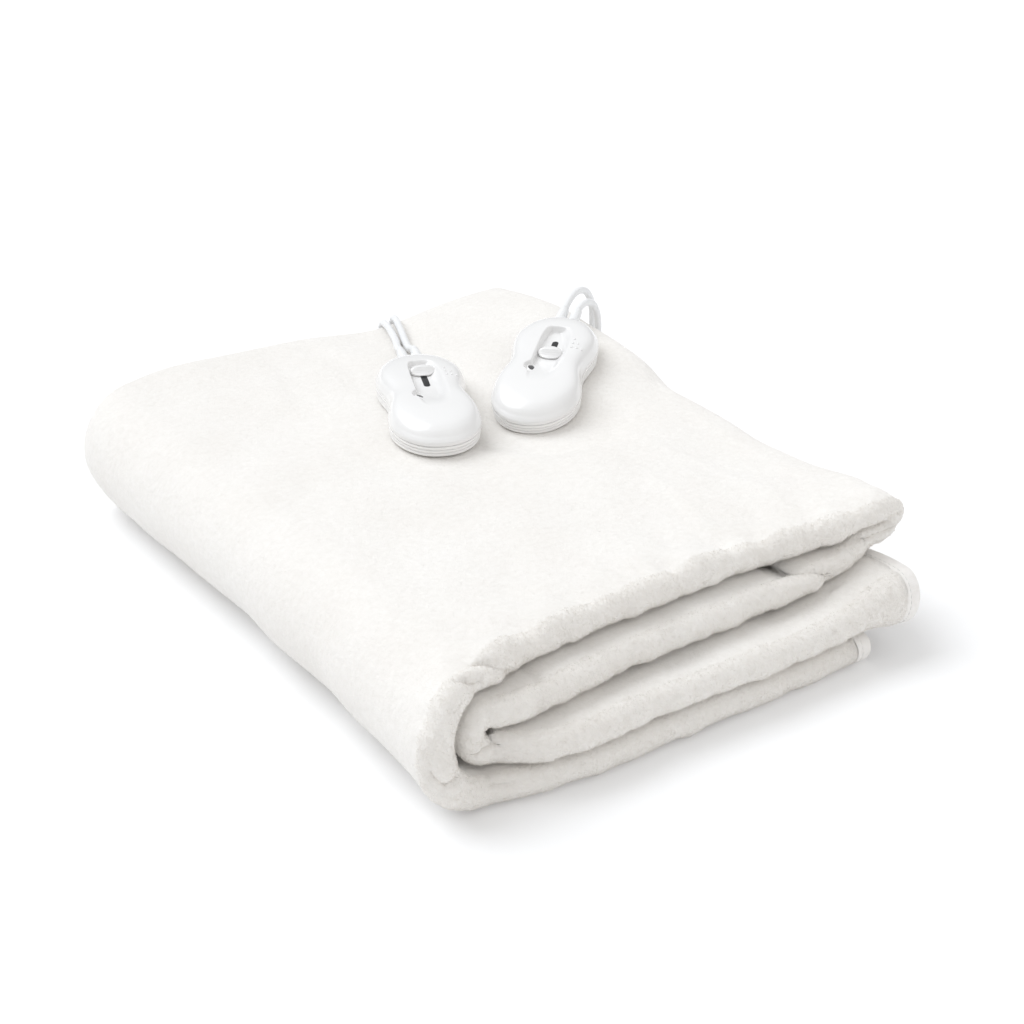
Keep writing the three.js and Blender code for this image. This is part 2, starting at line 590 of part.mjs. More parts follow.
// A tube along a route, stopped short of the coil that it runs into
function cordGeometry(points, steps, coil) {
  const route = new THREE.CatmullRomCurve3(points.map((p) => new THREE.Vector3(...p)), false, 'centripetal');
  const shares = Array.from({ length: 401 }, (_, k) => k / 400);
  const clear = shares.filter((t) => !coil || cutClearance(route, t, coil) >= PIECE_GAP)
    .map((t) => route.getPointAt(t));
  const kept = new THREE.CatmullRomCurve3(clear, false, 'centripetal');
  const section = new THREE.Shape();
  for (let k = 0; k < CORD_SIDES; k += 1) {
    const turn = (2 * Math.PI * (k + 0.5)) / CORD_SIDES;
    section[k ? 'lineTo' : 'moveTo'](CORD_RADIUS * Math.cos(turn), CORD_RADIUS * Math.sin(turn));
  }
  section.closePath();
  return new THREE.ExtrudeGeometry(section, { steps, extrudePath: kept, bevelEnabled: false });
}

// The last stretch of a mains lead, from the coil's far side to the plug
function tailRoute(c) {
  const y = c.y + coilOuter - CORD_RADIUS;
  const z = COIL.bottom + CORD_RADIUS;
  return [0, 0.25, 0.5, 0.75, 1].map((t) => [c.x - PLUG.tail * t, y - 4 * t * t, z + 5.2 * t * t * (3 - 2 * t)]);
}

// Ring of a rounded rectangle across the X axis
function blockRing(x, width, height, corner) {
  const ring = [];
  const steps = 3;
  for (const [sy, sz, start] of [[1, 1, 0], [-1, 1, 90], [-1, -1, 180], [1, -1, 270]]) {
    for (let k = 0; k <= steps; k += 1) {
      const turn = radians(start + (90 * k) / steps);
      ring.push(new THREE.Vector3(x, sy * (width / 2 - corner) + corner * Math.cos(turn),
        sz * (height / 2 - corner) + corner * Math.sin(turn)));
    }
  }
  return ring;
}

// A moulded plug along +X: tapered sleeve, body and a flat face for the pins
function plugGeometry() {
  const rings = [
    blockRing(0, 2 * PLUG.tipRadius, 2 * PLUG.tipRadius, PLUG.tipRadius - 0.05),
    blockRing(PLUG.taper, 10, 10, 4.5),
    blockRing(PLUG.taper + 3, 18, 14, 5),
    blockRing(PLUG.taper + 9, PLUG.width, PLUG.height, 5),
    blockRing(PLUG.taper + PLUG.length - 3, PLUG.width, PLUG.height, 5),
    blockRing(PLUG.taper + PLUG.length, PLUG.width - 4, PLUG.height - 4, 4),
  ];
  return stackedRings(rings);
}

function pinGeometry(side) {
  return turned([[0, 0], [0, PIN.radius], [PIN.length - 2, PIN.radius], [PIN.length, PIN.radius * 0.6],
    [PIN.length, 0]], PIN.sides)
    .translate(PLUG.taper + PLUG.length + PIECE_GAP, (side * PIN.pitch) / 2, 0);
}

// The moulded box on the cloth's free end, its tapered nose round the cord
function glandGeometry() {
  return stackedRings([
    blockRing(0, GLAND.width, GLAND.height, 2.5),
    blockRing(GLAND.depth - 2.5, GLAND.width, GLAND.height, 2.5),
    blockRing(GLAND.depth, GLAND.width - 4, GLAND.height - 3, 2),
    blockRing(GLAND.depth + 0.8, 10, 9, 4.4),
    blockRing(GLAND.depth + GLAND.taper, 2 * GLAND.tipRadius, 2 * GLAND.tipRadius, GLAND.tipRadius - 0.05),
  ]);
}

const finish = (color, roughness, metalness = 0) => new THREE.MeshStandardMaterial({ color, roughness, metalness });
const FLEECE = finish(0xf3f0ea, 0.95);
const TAPE = finish(0xf8f7f4, 0.75);
const GLOSS_WHITE = finish(0xf4f5f7, 0.25);
const BASE_WHITE = finish(0xeceef0, 0.35);
const LAMP_GREY = finish(0x8f9296, 0.2);
const CORD_WHITE = finish(0xf0f1f3, 0.45);

function addMesh(group, name, geometry, material) {
  const mesh = new THREE.Mesh(geometry, material);
  mesh.name = name;
  group.add(mesh);
}

const SLEEVE_WHITE = finish(0xe9ebed, 0.5);
const PIN_METAL = finish(0xc9c6bd, 0.25, 1);

const underblanket = new THREE.Group();
underblanket.position.set(-CENTRE.x, -CENTRE.y, 0);
addMesh(underblanket, 'blanket', blanketGeometry(), FLEECE);
addMesh(underblanket, 'tape_floor_end', tapeGeometry(0), TAPE);
addMesh(underblanket, 'tape_third_end', tapeGeometry(6), TAPE);

for (const [side, c] of Object.entries(CONTROLLERS)) {
  const unit = new THREE.Group();
  unit.applyMatrix4(seatMatrix(c));
  addMesh(unit, `${side}_base`, stackedRings(BASE_RINGS.map((r) => bodyRing(r.scale, r.z))), BASE_WHITE);
  addMesh(unit, `${side}_shell`, shellGeometry(), GLOSS_WHITE);
  addMesh(unit, `${side}_knob`, knobGeometry(c.knob), GLOSS_WHITE);
  addMesh(unit, `${side}_lamp`, lampGeometry(), LAMP_GREY);
  addMesh(unit, `${side}_relief_mains`, reliefGeometry(-RELIEF.across), SLEEVE_WHITE);
  addMesh(unit, `${side}_relief_blanket`, reliefGeometry(RELIEF.across), SLEEVE_WHITE);
  underblanket.add(unit);

  const coil = COILS[side];
  addMesh(underblanket, `${side}_mains_cord`,
    cordGeometry(ROUTES[`${side}_mains`], CORD_STEPS[`${side}_mains`], coil), CORD_WHITE);
  addMesh(underblanket, `${side}_blanket_cord`,
    cordGeometry(ROUTES[`${side}_blanket`], CORD_STEPS[`${side}_blanket`]), CORD_WHITE);
  addMesh(underblanket, `${side}_coil`, coilGeometry(coil), CORD_WHITE);
  addMesh(underblanket, `${side}_coil_tie`, tieGeometry(coil), SLEEVE_WHITE);
  const tail = tailRoute(coil);
  addMesh(underblanket, `${side}_tail_cord`, cordGeometry(tail, 3, coil), CORD_WHITE);

  const [tipX, tipY, tipZ] = tail[tail.length - 1];
  const plug = new THREE.Group();
  plug.position.set(tipX - PIECE_GAP, tipY, tipZ);
  plug.rotation.z = Math.PI + PLUG_TURN;
  addMesh(plug, `${side}_plug`, plugGeometry(), CORD_WHITE);
  addMesh(plug, `${side}_plug_pin_1`, pinGeometry(-1), PIN_METAL);
  addMesh(plug, `${side}_plug_pin_2`, pinGeometry(1), PIN_METAL);
  underblanket.add(plug);

  const gland = new THREE.Group();
  gland.position.set(GLANDS[side].x, GLANDS[side].y, GLAND.middle);
  addMesh(gland, `${side}_gland`, glandGeometry(), SLEEVE_WHITE);
  underblanket.add(gland);
}

export default underblanket;
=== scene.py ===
# The looks of an electric underblanket, folded up for the shelf, with its two slide controllers on top.
# Lengths are in millimetres until a mesh is made. Meshes are in metres, in the frame of the solids.
from math import copysign, cos, degrees, pi, radians, sin, tan
from types import SimpleNamespace as Sizes

import bmesh
import bpy
import numpy as np
from mathutils import Matrix, Vector


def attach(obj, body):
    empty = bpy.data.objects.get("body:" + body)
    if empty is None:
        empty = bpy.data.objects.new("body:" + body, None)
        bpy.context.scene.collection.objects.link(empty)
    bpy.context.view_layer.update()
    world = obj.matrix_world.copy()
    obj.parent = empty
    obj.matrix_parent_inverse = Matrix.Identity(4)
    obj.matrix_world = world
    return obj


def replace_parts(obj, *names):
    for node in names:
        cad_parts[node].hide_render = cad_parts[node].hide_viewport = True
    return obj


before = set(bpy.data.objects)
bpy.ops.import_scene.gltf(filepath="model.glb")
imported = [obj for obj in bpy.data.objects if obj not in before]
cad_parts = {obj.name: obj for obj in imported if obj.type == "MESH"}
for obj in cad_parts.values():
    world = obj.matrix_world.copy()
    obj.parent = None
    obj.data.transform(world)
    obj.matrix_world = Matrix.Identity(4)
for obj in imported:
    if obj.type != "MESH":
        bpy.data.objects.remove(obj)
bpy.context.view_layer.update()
scene = bpy.context.scene
BODY = "underblanket"
MM = 0.001


# The folded sheet, in millimetres before centring: the same rule and the same numbers as the solids
CENTRE = (2, -4.51)
STACK_HEIGHT = 84
PAD_GAP = 1.2
FOLD_DEPTH = 470
CLOTH_THICKNESS = 4.3
CLOTH_SHARE = 0.78
INNER_FOLD_INSET = 6.5
OUTER_REACH_LIMIT = 12.2
SLIM_PAD = 22.4
# Cloth below this height lies flat on the floor
REST_BAND = 1.2
ORDER = ("floor", "third", "second", "top")
NEAR_FOLDS = {
    "x": (-164, -140, -112, -84, -47, 0, 56, 103, 140, 168),
    "floor": (-245, -255, -260, -262, -261, -260, -257, -255, -253, -253),
    "third": (-238, -246, -261, -265, -262, -261, -260, -258, -257, -258),
    "second": (-245, -247, -249, -245, -240, -236, -232, -231, -227, -221),
    "top": (-245, -241, -232, -227, -223, -219, -215, -217, -222, -226),
}
OUTER_FOLD_LEAN = {"y": (-252, -140, -75, 0, 56, 159, 243), "shift": (4.7, 4.2, 2.8, 0, -5.6, -12, -10)}
# x, y, reach along x, reach along y, lift
TOP_SWELLS = ((181, 168, 65, 100, 19), (112, 112, 112, 112, 3), (164, -100, 42, 56, -3),
              (66, 245, 47, 56, -8.5), (-112, 245, 56, 56, 4), (184, -200, 48, 50, 9.5))
MIDDLE_SWELLS = ((173, -245, 47, 56, 15),)
LOW_SWELLS = ((178, -238, 28, 280, -8.5),)
CONTROLLERS = {
    "left": Sizes(x=7, y=61, z=84.6, turn=-111, pitch=0.8, knob=-31),
    "right": Sizes(x=102.5, y=54.5, z=89.5, turn=-135.5, pitch=8.3, knob=-9),
}
BODY_LENGTH, BODY_WIDTH = 146, 71
SEAT_GAP, SEAT_MARGIN, SEAT_FADE = 0.7, 10, 36
# strip: (name, x from, x to, side); fold: (strips, x, out, egg, bulge, shift)
WAY = (
    ("strip", "floor", 129.7, -140, -1), ("fold", ("floor", "top"), -140, -1, 0.06, 2.5, -14),
    ("strip", "top", -140, 173, 1), ("fold", ("top", "second"), 173, 1, 0, 0, 0),
    ("strip", "second", 173, -135, -1), ("fold", ("second", "third"), -135, -1, 0, 0, 0),
    ("strip", "third", -135, 162, 1),
)


def ease(t):
    t = np.clip(t, 0, 1)
    return t * t * (3 - 2 * t)


def along(xs, values, at):
    """A smooth curve through a row of values."""
    xs, values = np.asarray(xs, float), np.asarray(values, float)
    slope = np.empty_like(values)
    slope[1:-1] = (values[2:] - values[:-2]) / (xs[2:] - xs[:-2])
    slope[0] = (values[1] - values[0]) / (xs[1] - xs[0])
    slope[-1] = (values[-1] - values[-2]) / (xs[-1] - xs[-2])
    at = np.clip(at, xs[0], xs[-1])
    i = np.clip(np.searchsorted(xs, at, side="right") - 1, 0, len(xs) - 2)
    span = xs[i + 1] - xs[i]
    t = (at - xs[i]) / span
    return ((2 * t**3 - 3 * t**2 + 1) * values[i] + (t**3 - 2 * t**2 + t) * span * slope[i]
            + (3 * t**2 - 2 * t**3) * values[i + 1] + (t**3 - t**2) * span * slope[i + 1])


def unit(vectors):
    return vectors / np.linalg.norm(vectors, axis=-1, keepdims=True)


def full_turn(count):
    return np.arange(count) * 2 * pi / count


def swelling(rows, x, y):
    return sum(lift * np.exp(-((x - x0) / rx) ** 2 - ((y - y0) / ry) ** 2) for x0, y0, rx, ry, lift in rows)


def seat_reach(c, x, y):
    """How far a place lies outside a controller's block, and how far along the controller."""
    turn = radians(c.turn)
    u = (x - c.x) * cos(turn) + (y - c.y) * sin(turn)
    v = -(x - c.x) * sin(turn) + (y - c.y) * cos(turn)
    reach = np.hypot(np.maximum(np.abs(u) - BODY_LENGTH / 2 + 30, 0),
                     np.maximum(np.abs(v) - BODY_WIDTH / 2 + 30, 0)) - 30
    return reach, u


def levels(x, y):
    """Heights of the faces between the strips, from the floor up."""
    top = STACK_HEIGHT + swelling(TOP_SWELLS, x, y)
    for c in CONTROLLERS.values():
        reach, u = seat_reach(c, x, y)
        weight = 1 - ease((reach - SEAT_MARGIN) / SEAT_FADE)
        top = top + weight * (c.z - SEAT_GAP - tan(radians(c.pitch)) * u - top)
    middle = 0.5 * top + swelling(MIDDLE_SWELLS, x, y)
    low = 0.245 * top + swelling(LOW_SWELLS, x, y)
    return (0 * top, low, middle, (middle + top) / 2, top)


def pad(strip, x, y):
    """Middle height and thickness of a strip's pad."""
    faces = levels(x, y)
    k = ORDER.index(strip)
    below = faces[k] + (PAD_GAP / 2 if k > 0 else 0)
    above = faces[k + 1] - (PAD_GAP / 2 if k < 3 else 0)
    return (below + above) / 2, above - below


def pad_section(part, t, y):
    """Point, normal and thickness of the pad's middle face at a share t of one part of the way."""
    if part[0] == "strip":
        _, strip, start, end, side = part
        x = start + (end - start) * t + 0 * y
        z, thickness = pad(strip, x, y)
        slope = (pad(strip, x + 0.5, y)[0] - z) / 0.5
        run = np.hypot(1, slope)
        nx, nz = -side * slope / run, side / run
    else:
        _, strips, middle, out, egg, bulge, _ = part
        za, ta = pad(strips[0], middle, y + 0 * t)
        zb, tb = pad(strips[1], middle, y + 0 * t)
        turn = pi * t
        radius = (zb - za) / 2
        reach = out * np.abs(radius)
        w = ease(t)
        x = middle + reach * np.sin(turn) * (1 - egg * np.cos(turn))
        z = (za + zb) / 2 - radius * np.cos(turn)
        dx = reach * (np.cos(turn) - egg * np.cos(2 * turn))
        dz = radius * np.sin(turn)
        run = np.hypot(dx, dz)
        nx, nz = -dz / run, dx / run
        thickness = ta * (1 - w) + tb * w + bulge * np.sin(turn) * np.exp(-((y + FOLD_DEPTH * 0.548) / 28) ** 2)
    x = x + along(OUTER_FOLD_LEAN["y"], OUTER_FOLD_LEAN["shift"], y) * ease((75 - x) / 205)
    return x, z, nx, nz, thickness


def near_fold(part, t):
    """How far out the near fold lies at a share t of one part of the way."""
    def edge(strip, x):
        return along(NEAR_FOLDS["x"], NEAR_FOLDS[strip], x)

    if part[0] == "strip":
        return edge(part[1], part[2] + (part[3] - part[2]) * t)
    w, turn = ease(t), pi * t
    a, b = (edge(strip, part[2]) for strip in part[1])
    return a * (1 - w) + b * w + part[6] * np.sin(turn) * (0.6 - 0.4 * np.cos(turn))


def layer_section(layer, t, near, thickness):
    """The sheet's way through the pad: y and the share of the pad's thickness."""
    far = near + FOLD_DEPTH
    outer_reach = np.minimum(0.375 * thickness, OUTER_REACH_LIMIT)
    inner_reach = 0.125 * thickness
    outer_y = near + outer_reach + CLOTH_THICKNESS / 2
    inner_y = outer_y + INNER_FOLD_INSET + 0.35 * np.maximum(thickness - SLIM_PAD, 0)
    far_y = far - inner_reach - CLOTH_THICKNESS / 2
    turn = pi * t
    spread, gather = t**1.2, 1 - (1 - t) ** 1.2
    bow, dip, flat = np.sin(turn), np.cos(turn), 0 * turn
    return ((far + (outer_y - far) * gather, flat + 1 / 8),
            (outer_y - outer_reach * bow, 0.5 - 0.375 * dip),
            (outer_y + (far_y - outer_y) * spread, flat + 7 / 8),
            (far_y + inner_reach * bow, 0.75 + 0.125 * dip),
            (far_y + (inner_y - far_y) * gather, flat + 5 / 8),
            (inner_y - inner_reach * bow, 0.5 + 0.125 * dip),
            (inner_y + (far - inner_y) * spread, flat + 3 / 8))[layer]


def sheet_points(s, q):
    """Points of the sheet's middle face and the room of a layer there, over a grid of stations."""
    s, q = np.asarray(s, float), np.asarray(q, float)
    points = np.empty((len(s), len(q), 3))
    room = np.empty((len(s), len(q)))
    part = np.clip(np.floor(s).astype(int), 0, 6)
    layer = np.clip(np.floor(q).astype(int), 0, 6)
    for i in range(7):
        rows = np.nonzero(part == i)[0]
        if not len(rows):
            continue
        t = (s[rows] - i)[:, None]
        near = near_fold(WAY[i], t)
        nose = pad_section(WAY[i], t, near + 11)[4]
        for j in range(7):
            cols = np.nonzero(layer == j)[0]
            if not len(cols):
                continue
            y, share = layer_section(j, (q[cols] - j)[None, :], near, nose)
            share = share + 0 * y
            x, z, nx, nz, thickness = pad_section(WAY[i], t, y)
            off = (share - 0.5) * thickness
            points[np.ix_(rows, cols)] = np.stack([x + nx * off, y, z + nz * off], -1)
            room[np.ix_(rows, cols)] = thickness / 4
    return points, room


def stations(steps):
    out = [part + k / count for part, count in enumerate(steps) for k in range(count)]
    return np.array(out + [len(steps)], float)


def sheet_faces(s, q, share):
    """The sheet's middle face, its outward normals and half its thickness."""
    step = 1e-3
    ahead, _ = sheet_points(s + step, q)
    behind, _ = sheet_points(s - step, q)
    right, _ = sheet_points(s, np.minimum(q + step, 7))
    left, _ = sheet_points(s, np.maximum(q - step, 0))
    points, room = sheet_points(s, q)
    half = np.minimum(CLOTH_THICKNESS / 2 * (share / CLOTH_SHARE), share * room / 2)
    return points, unit(np.cross(ahead - behind, right - left)), half


# Making meshes
def to_metres(points):
    return (np.asarray(points, float).reshape(-1, 3) - (*CENTRE, 0)) * MM


def linked(name, data):
    obj = bpy.data.objects.new(name, data)
    scene.collection.objects.link(obj)
    return obj


def smooth(mesh):
    mesh.polygons.foreach_set("use_smooth", [True] * len(mesh.polygons))


def mesh_object(name, solid, material, turn=(0, 0, 0), at=(0, 0, 0)):
    """A smooth piece of one solid: its points in millimetres, and its faces."""
    points, faces = solid
    mesh = bpy.data.meshes.new(name)
    mesh.from_pydata([tuple(p) for p in to_metres(placed(points, turn, at))], [], [tuple(map(int, f)) for f in faces])
    mesh.validate()
    mesh.update()
    smooth(mesh)
    mesh.materials.append(material)
    return linked(name, mesh)


def grid_faces(rows, columns, close_rows=False, close_columns=False, offset=0, flip=False):
    i = np.arange(rows if close_rows else rows - 1)[:, None]
    j = np.arange(columns if close_columns else columns - 1)[None, :]
    i2, j2 = (i + 1) % rows, (j + 1) % columns
    corners = (i * columns + j, i2 * columns + j, i2 * columns + j2, i * columns + j2)
    quads = np.stack(corners, -1).reshape(-1, 4) + offset
    return quads[:, ::-1] if flip else quads


def border(i):
    return np.concatenate([i[0, :], i[1:, -1], i[-1, -2::-1], i[-2:0:-1, 0]])


def outward(points, faces):
    """The faces of a closed mesh, turned over where they look inward."""
    p, volume = np.asarray(points), 0.0
    for f in (np.asarray([g for g in faces if len(g) == n]) for n in (3, 4)):
        for k in range(1, f.shape[1] - 1 if len(f) else 0):
            volume += np.einsum("ij,ij->i", p[f[:, 0]], np.cross(p[f[:, k]], p[f[:, k + 1]])).sum()
    return [tuple(f) if volume > 0 else tuple(f)[::-1] for f in faces]


def stacked_rings(rings):
    """A closed solid of rings of equal counts, with a middle point at both ends."""
    rings = np.asarray(rings, float)
    n, m, _ = rings.shape
    points = np.concatenate([rings.reshape(-1, 3), rings[0].mean(0)[None], rings[-1].mean(0)[None]])
    faces = list(grid_faces(n, m, close_columns=True))
    faces += [(k, (k + 1) % m, n * m) for k in range(m)]
    faces += [((n - 1) * m + (k + 1) % m, (n - 1) * m + k, n * m + 1) for k in range(m)]
    return points, outward(points, faces)


def looped(rings):
    """A closed band of rings: the last joins the first."""
    rings = np.asarray(rings, float)
    points = rings.reshape(-1, 3)
    return points, outward(points, grid_faces(*rings.shape[:2], close_rows=True, close_columns=True))


def turned(rows, sides):
    """A round solid about the X axis from rows of place and radius."""
    turn = full_turn(sides)
    rings = [np.stack([np.full(sides, x), r * np.cos(turn), r * np.sin(turn)], -1) for x, r in rows]
    return stacked_rings(rings)


def block_ring(x, width, height, corner):
    ring = []
    for sy, sz, start in ((1, 1, 0), (-1, 1, 90), (-1, -1, 180), (1, -1, 270)):
        for k in range(7):
            turn = radians(start + 90 * k / 6)
            ring.append((x, sy * (width / 2 - corner) + corner * cos(turn),
                         sz * (height / 2 - corner) + corner * sin(turn)))
    return ring


def placed(points, turn, at):
    """Points turned by degrees about X, then Y, then Z, and moved."""
    x, y, z = (radians(a) for a in turn)
    m = Matrix.Rotation(z, 3, "Z") @ Matrix.Rotation(y, 3, "Y") @ Matrix.Rotation(x, 3, "X")
    return np.asarray(points, float) @ np.array(m).T + np.asarray(at, float)


def seat(c):
    """A controller's turn and place."""
    return (0, c.pitch, c.turn), (c.x, c.y, c.z)


def joined(parts):
    points, faces, base = [], [], 0
    for p, f in parts:
        points.append(np.asarray(p, float))
        faces += [tuple(i + base for i in g) for g in f]
        base += len(p)
    return np.concatenate(points), faces


# Finishes
def fed(tree, node, **inputs):
    """A node whose inputs are each given a value, or the output that feeds them."""
    for key, value in inputs.items():
        socket = node.inputs[key.replace("_", " ")]
        if isinstance(value, bpy.types.NodeSocket):
            tree.links.new(value, socket)
        else:
            socket.default_value = value
    return node


def added(tree, kind, **inputs):
    return fed(tree, tree.nodes.new(kind), **inputs)


def shader(name, colour, roughness, **sockets):
    """A plain material, with its node tree and its surface for what a finish adds."""
    material = bpy.data.materials.new(name)
    material.use_nodes = True
    material.diffuse_color = (*colour, 1)
    tree = material.node_tree
    return material, tree, fed(tree, tree.nodes["Principled BSDF"], Base_Color=(*colour, 1), Roughness=roughness,
                               **sockets)


def own_place(tree):
    return added(tree, "ShaderNodeTexCoord").outputs["Object"]


def noise(tree, place, scale, detail=3.0, roughness=0.55):
    return added(tree, "ShaderNodeTexNoise", Scale=scale, Detail=detail, Roughness=roughness,
                 Vector=place).outputs["Fac"]


def spread_between(tree, factor, dark, light, low=0.3, high=0.7):
    """A colour that goes from dark to light as the factor goes from low to high."""
    ramp = added(tree, "ShaderNodeValToRGB", Fac=factor)
    for end, position, colour in zip(ramp.color_ramp.elements, (low, high), (dark, light)):
        end.position, end.color = position, (*colour, 1)
    return ramp.outputs["Color"]


def bumped(tree, surface, heights):
    """Bump nodes in a row: each of heights is a factor, a strength and a distance in metres."""
    before = {}
    for factor, strength, distance in heights:
        bump = added(tree, "ShaderNodeBump", Strength=strength, Distance=distance, Height=factor, **before)
        before = {"Normal": bump.outputs["Normal"]}
    fed(tree, surface, **before)


def fleece_finish():
    material, tree, surface = shader("brushed_fleece", (0.88, 0.858, 0.828), 0.95, Sheen_Weight=0.35,
                                     Sheen_Roughness=0.6, Specular_IOR_Level=0.2)
    place = own_place(tree)
    broad = noise(tree, place, 14, 2)
    nap = noise(tree, place, 260, 4, 0.6)
    fuzz = noise(tree, place, 1500, 3, 0.65)
    # Its inputs follow from its data type
    mix = added(tree, "ShaderNodeMix")
    mix.data_type, mix.blend_type = "RGBA", "MULTIPLY"
    fed(tree, mix, Factor=1, A=spread_between(tree, broad, (0.866, 0.840, 0.806), (0.895, 0.875, 0.846)),
        B=spread_between(tree, nap, (0.93, 0.925, 0.915), (1, 1, 1), 0.25, 0.75))
    fed(tree, surface, Base_Color=mix.outputs["Result"])
    bumped(tree, surface, [(nap, 0.5, 0.0016), (fuzz, 0.6, 0.0006)])
    return material


def nap_finish():
    """Single fibres: they let light through, and their colour is a little lighter than the cloth's, painted light, so
    that none stands out dark.
    """
    material, tree, surface = shader("fleece_fibres_painted_light", (0.90, 0.872, 0.836), 0.9, Sheen_Weight=0.2)
    tint = spread_between(tree, noise(tree, own_place(tree), 600, 2), (0.87, 0.84, 0.805), (0.92, 0.90, 0.87))
    fed(tree, surface, Base_Color=tint)
    glow = added(tree, "ShaderNodeBsdfTranslucent", Color=tint)
    blend = added(tree, "ShaderNodeMixShader", Fac=0.6)
    tree.links.new(surface.outputs["BSDF"], blend.inputs[1])
    tree.links.new(glow.outputs["BSDF"], blend.inputs[2])
    fed(tree, tree.nodes["Material Output"], Surface=blend.outputs["Shader"])
    return material


def tape_finish():
    material, tree, surface = shader("woven_tape", (0.86, 0.84, 0.815), 0.8, Sheen_Weight=0.2, Sheen_Roughness=0.5)
    place = own_place(tree)
    heights = []
    for direction in ("X", "Y"):
        rib = added(tree, "ShaderNodeTexWave", Scale=420, Distortion=0.6, Vector=place)
        rib.bands_direction = direction
        heights.append((rib.outputs["Fac"], 0.25, 0.0002))
    slub = noise(tree, place, 320, 3)
    tint = spread_between(tree, slub, (0.84, 0.815, 0.785), (0.88, 0.86, 0.835))
    fed(tree, surface, Base_Color=tint)
    bumped(tree, surface, heights + [(slub, 0.2, 0.0003)])
    return material


def plastic_finish(name, colour, roughness, coat=0.0, grain=0.0):
    material, tree, surface = shader(name, colour, roughness, Coat_Weight=coat, Coat_Roughness=0.12)
    place = own_place(tree)
    wave = noise(tree, place, 35, 2)
    dust = noise(tree, place, 700, 3)
    rough = added(tree, "ShaderNodeMapRange", To_Min=roughness - 0.03, To_Max=roughness + 0.05, Value=dust)
    fed(tree, surface, Base_Color=spread_between(tree, wave, tuple(0.985 * c for c in colour), colour),
        Roughness=rough.outputs["Result"])
    bumped(tree, surface, [(wave, 0.05, 0.0004), (dust, 0.04 + grain, 0.00008)])
    return material


FLEECE = fleece_finish()
FLEECE_NAP_PAINTED_LIGHT = nap_finish()
TAPE = tape_finish()
THREAD, *_ = shader("sewing_thread", (0.80, 0.79, 0.77), 0.6)
GLOSS_WHITE = plastic_finish("gloss_white_shell", (0.835, 0.83, 0.825), 0.23, coat=0.4)
# Whiter than the cover's plastic: painted light that lifts the shade on the underside's lower rim
BASE_WHITE_PAINTED_LIGHT = plastic_finish("satin_white_base_painted_light", (0.92, 0.912, 0.90), 0.34, grain=0.1)
CORD_WHITE = plastic_finish("white_cord_sheath", (0.83, 0.835, 0.84), 0.42, grain=0.15)
SLEEVE_WHITE = plastic_finish("white_moulding", (0.83, 0.835, 0.84), 0.38, grain=0.1)
# Near black: painted shade for the hollow under the slot
SLOT_SHADE_BLACK = plastic_finish("painted_slot_shade", (0.012, 0.012, 0.013), 0.5)
# A smoked lens made near black: partly its own tint, partly painted shade of the recess it sits in
LAMP_GREY_AND_SHADE = plastic_finish("smoked_lens_and_shade", (0.035, 0.035, 0.04), 0.18, coat=0.4)
PIN_METAL = plastic_finish("plated_pin", (0.72, 0.70, 0.66), 0.25)
PIN_METAL.node_tree.nodes["Principled BSDF"].inputs["Metallic"].default_value = 1


# The camera stands where the photo's view was taken from: degrees, metres, and millimetres from the frame's centre
VIEW = Sizes(angle=34.8, elevation=26.7, azimuth=-32.56, distance=1.1033, target=(18.2, -23.69, 42.1))
lens = bpy.data.cameras.new("view")
lens.angle = radians(VIEW.angle)
lens.clip_start, lens.clip_end = 0.05, 50
camera = linked("view", lens)
target = Vector(VIEW.target) * MM
up, side = radians(VIEW.elevation), radians(VIEW.azimuth)
away = Vector((sin(side) * cos(up), -cos(side) * cos(up), sin(up)))
camera.location = target + away * VIEW.distance
camera.rotation_euler = (camera.location - target).to_track_quat("Z", "Y").to_euler()
scene.camera = camera


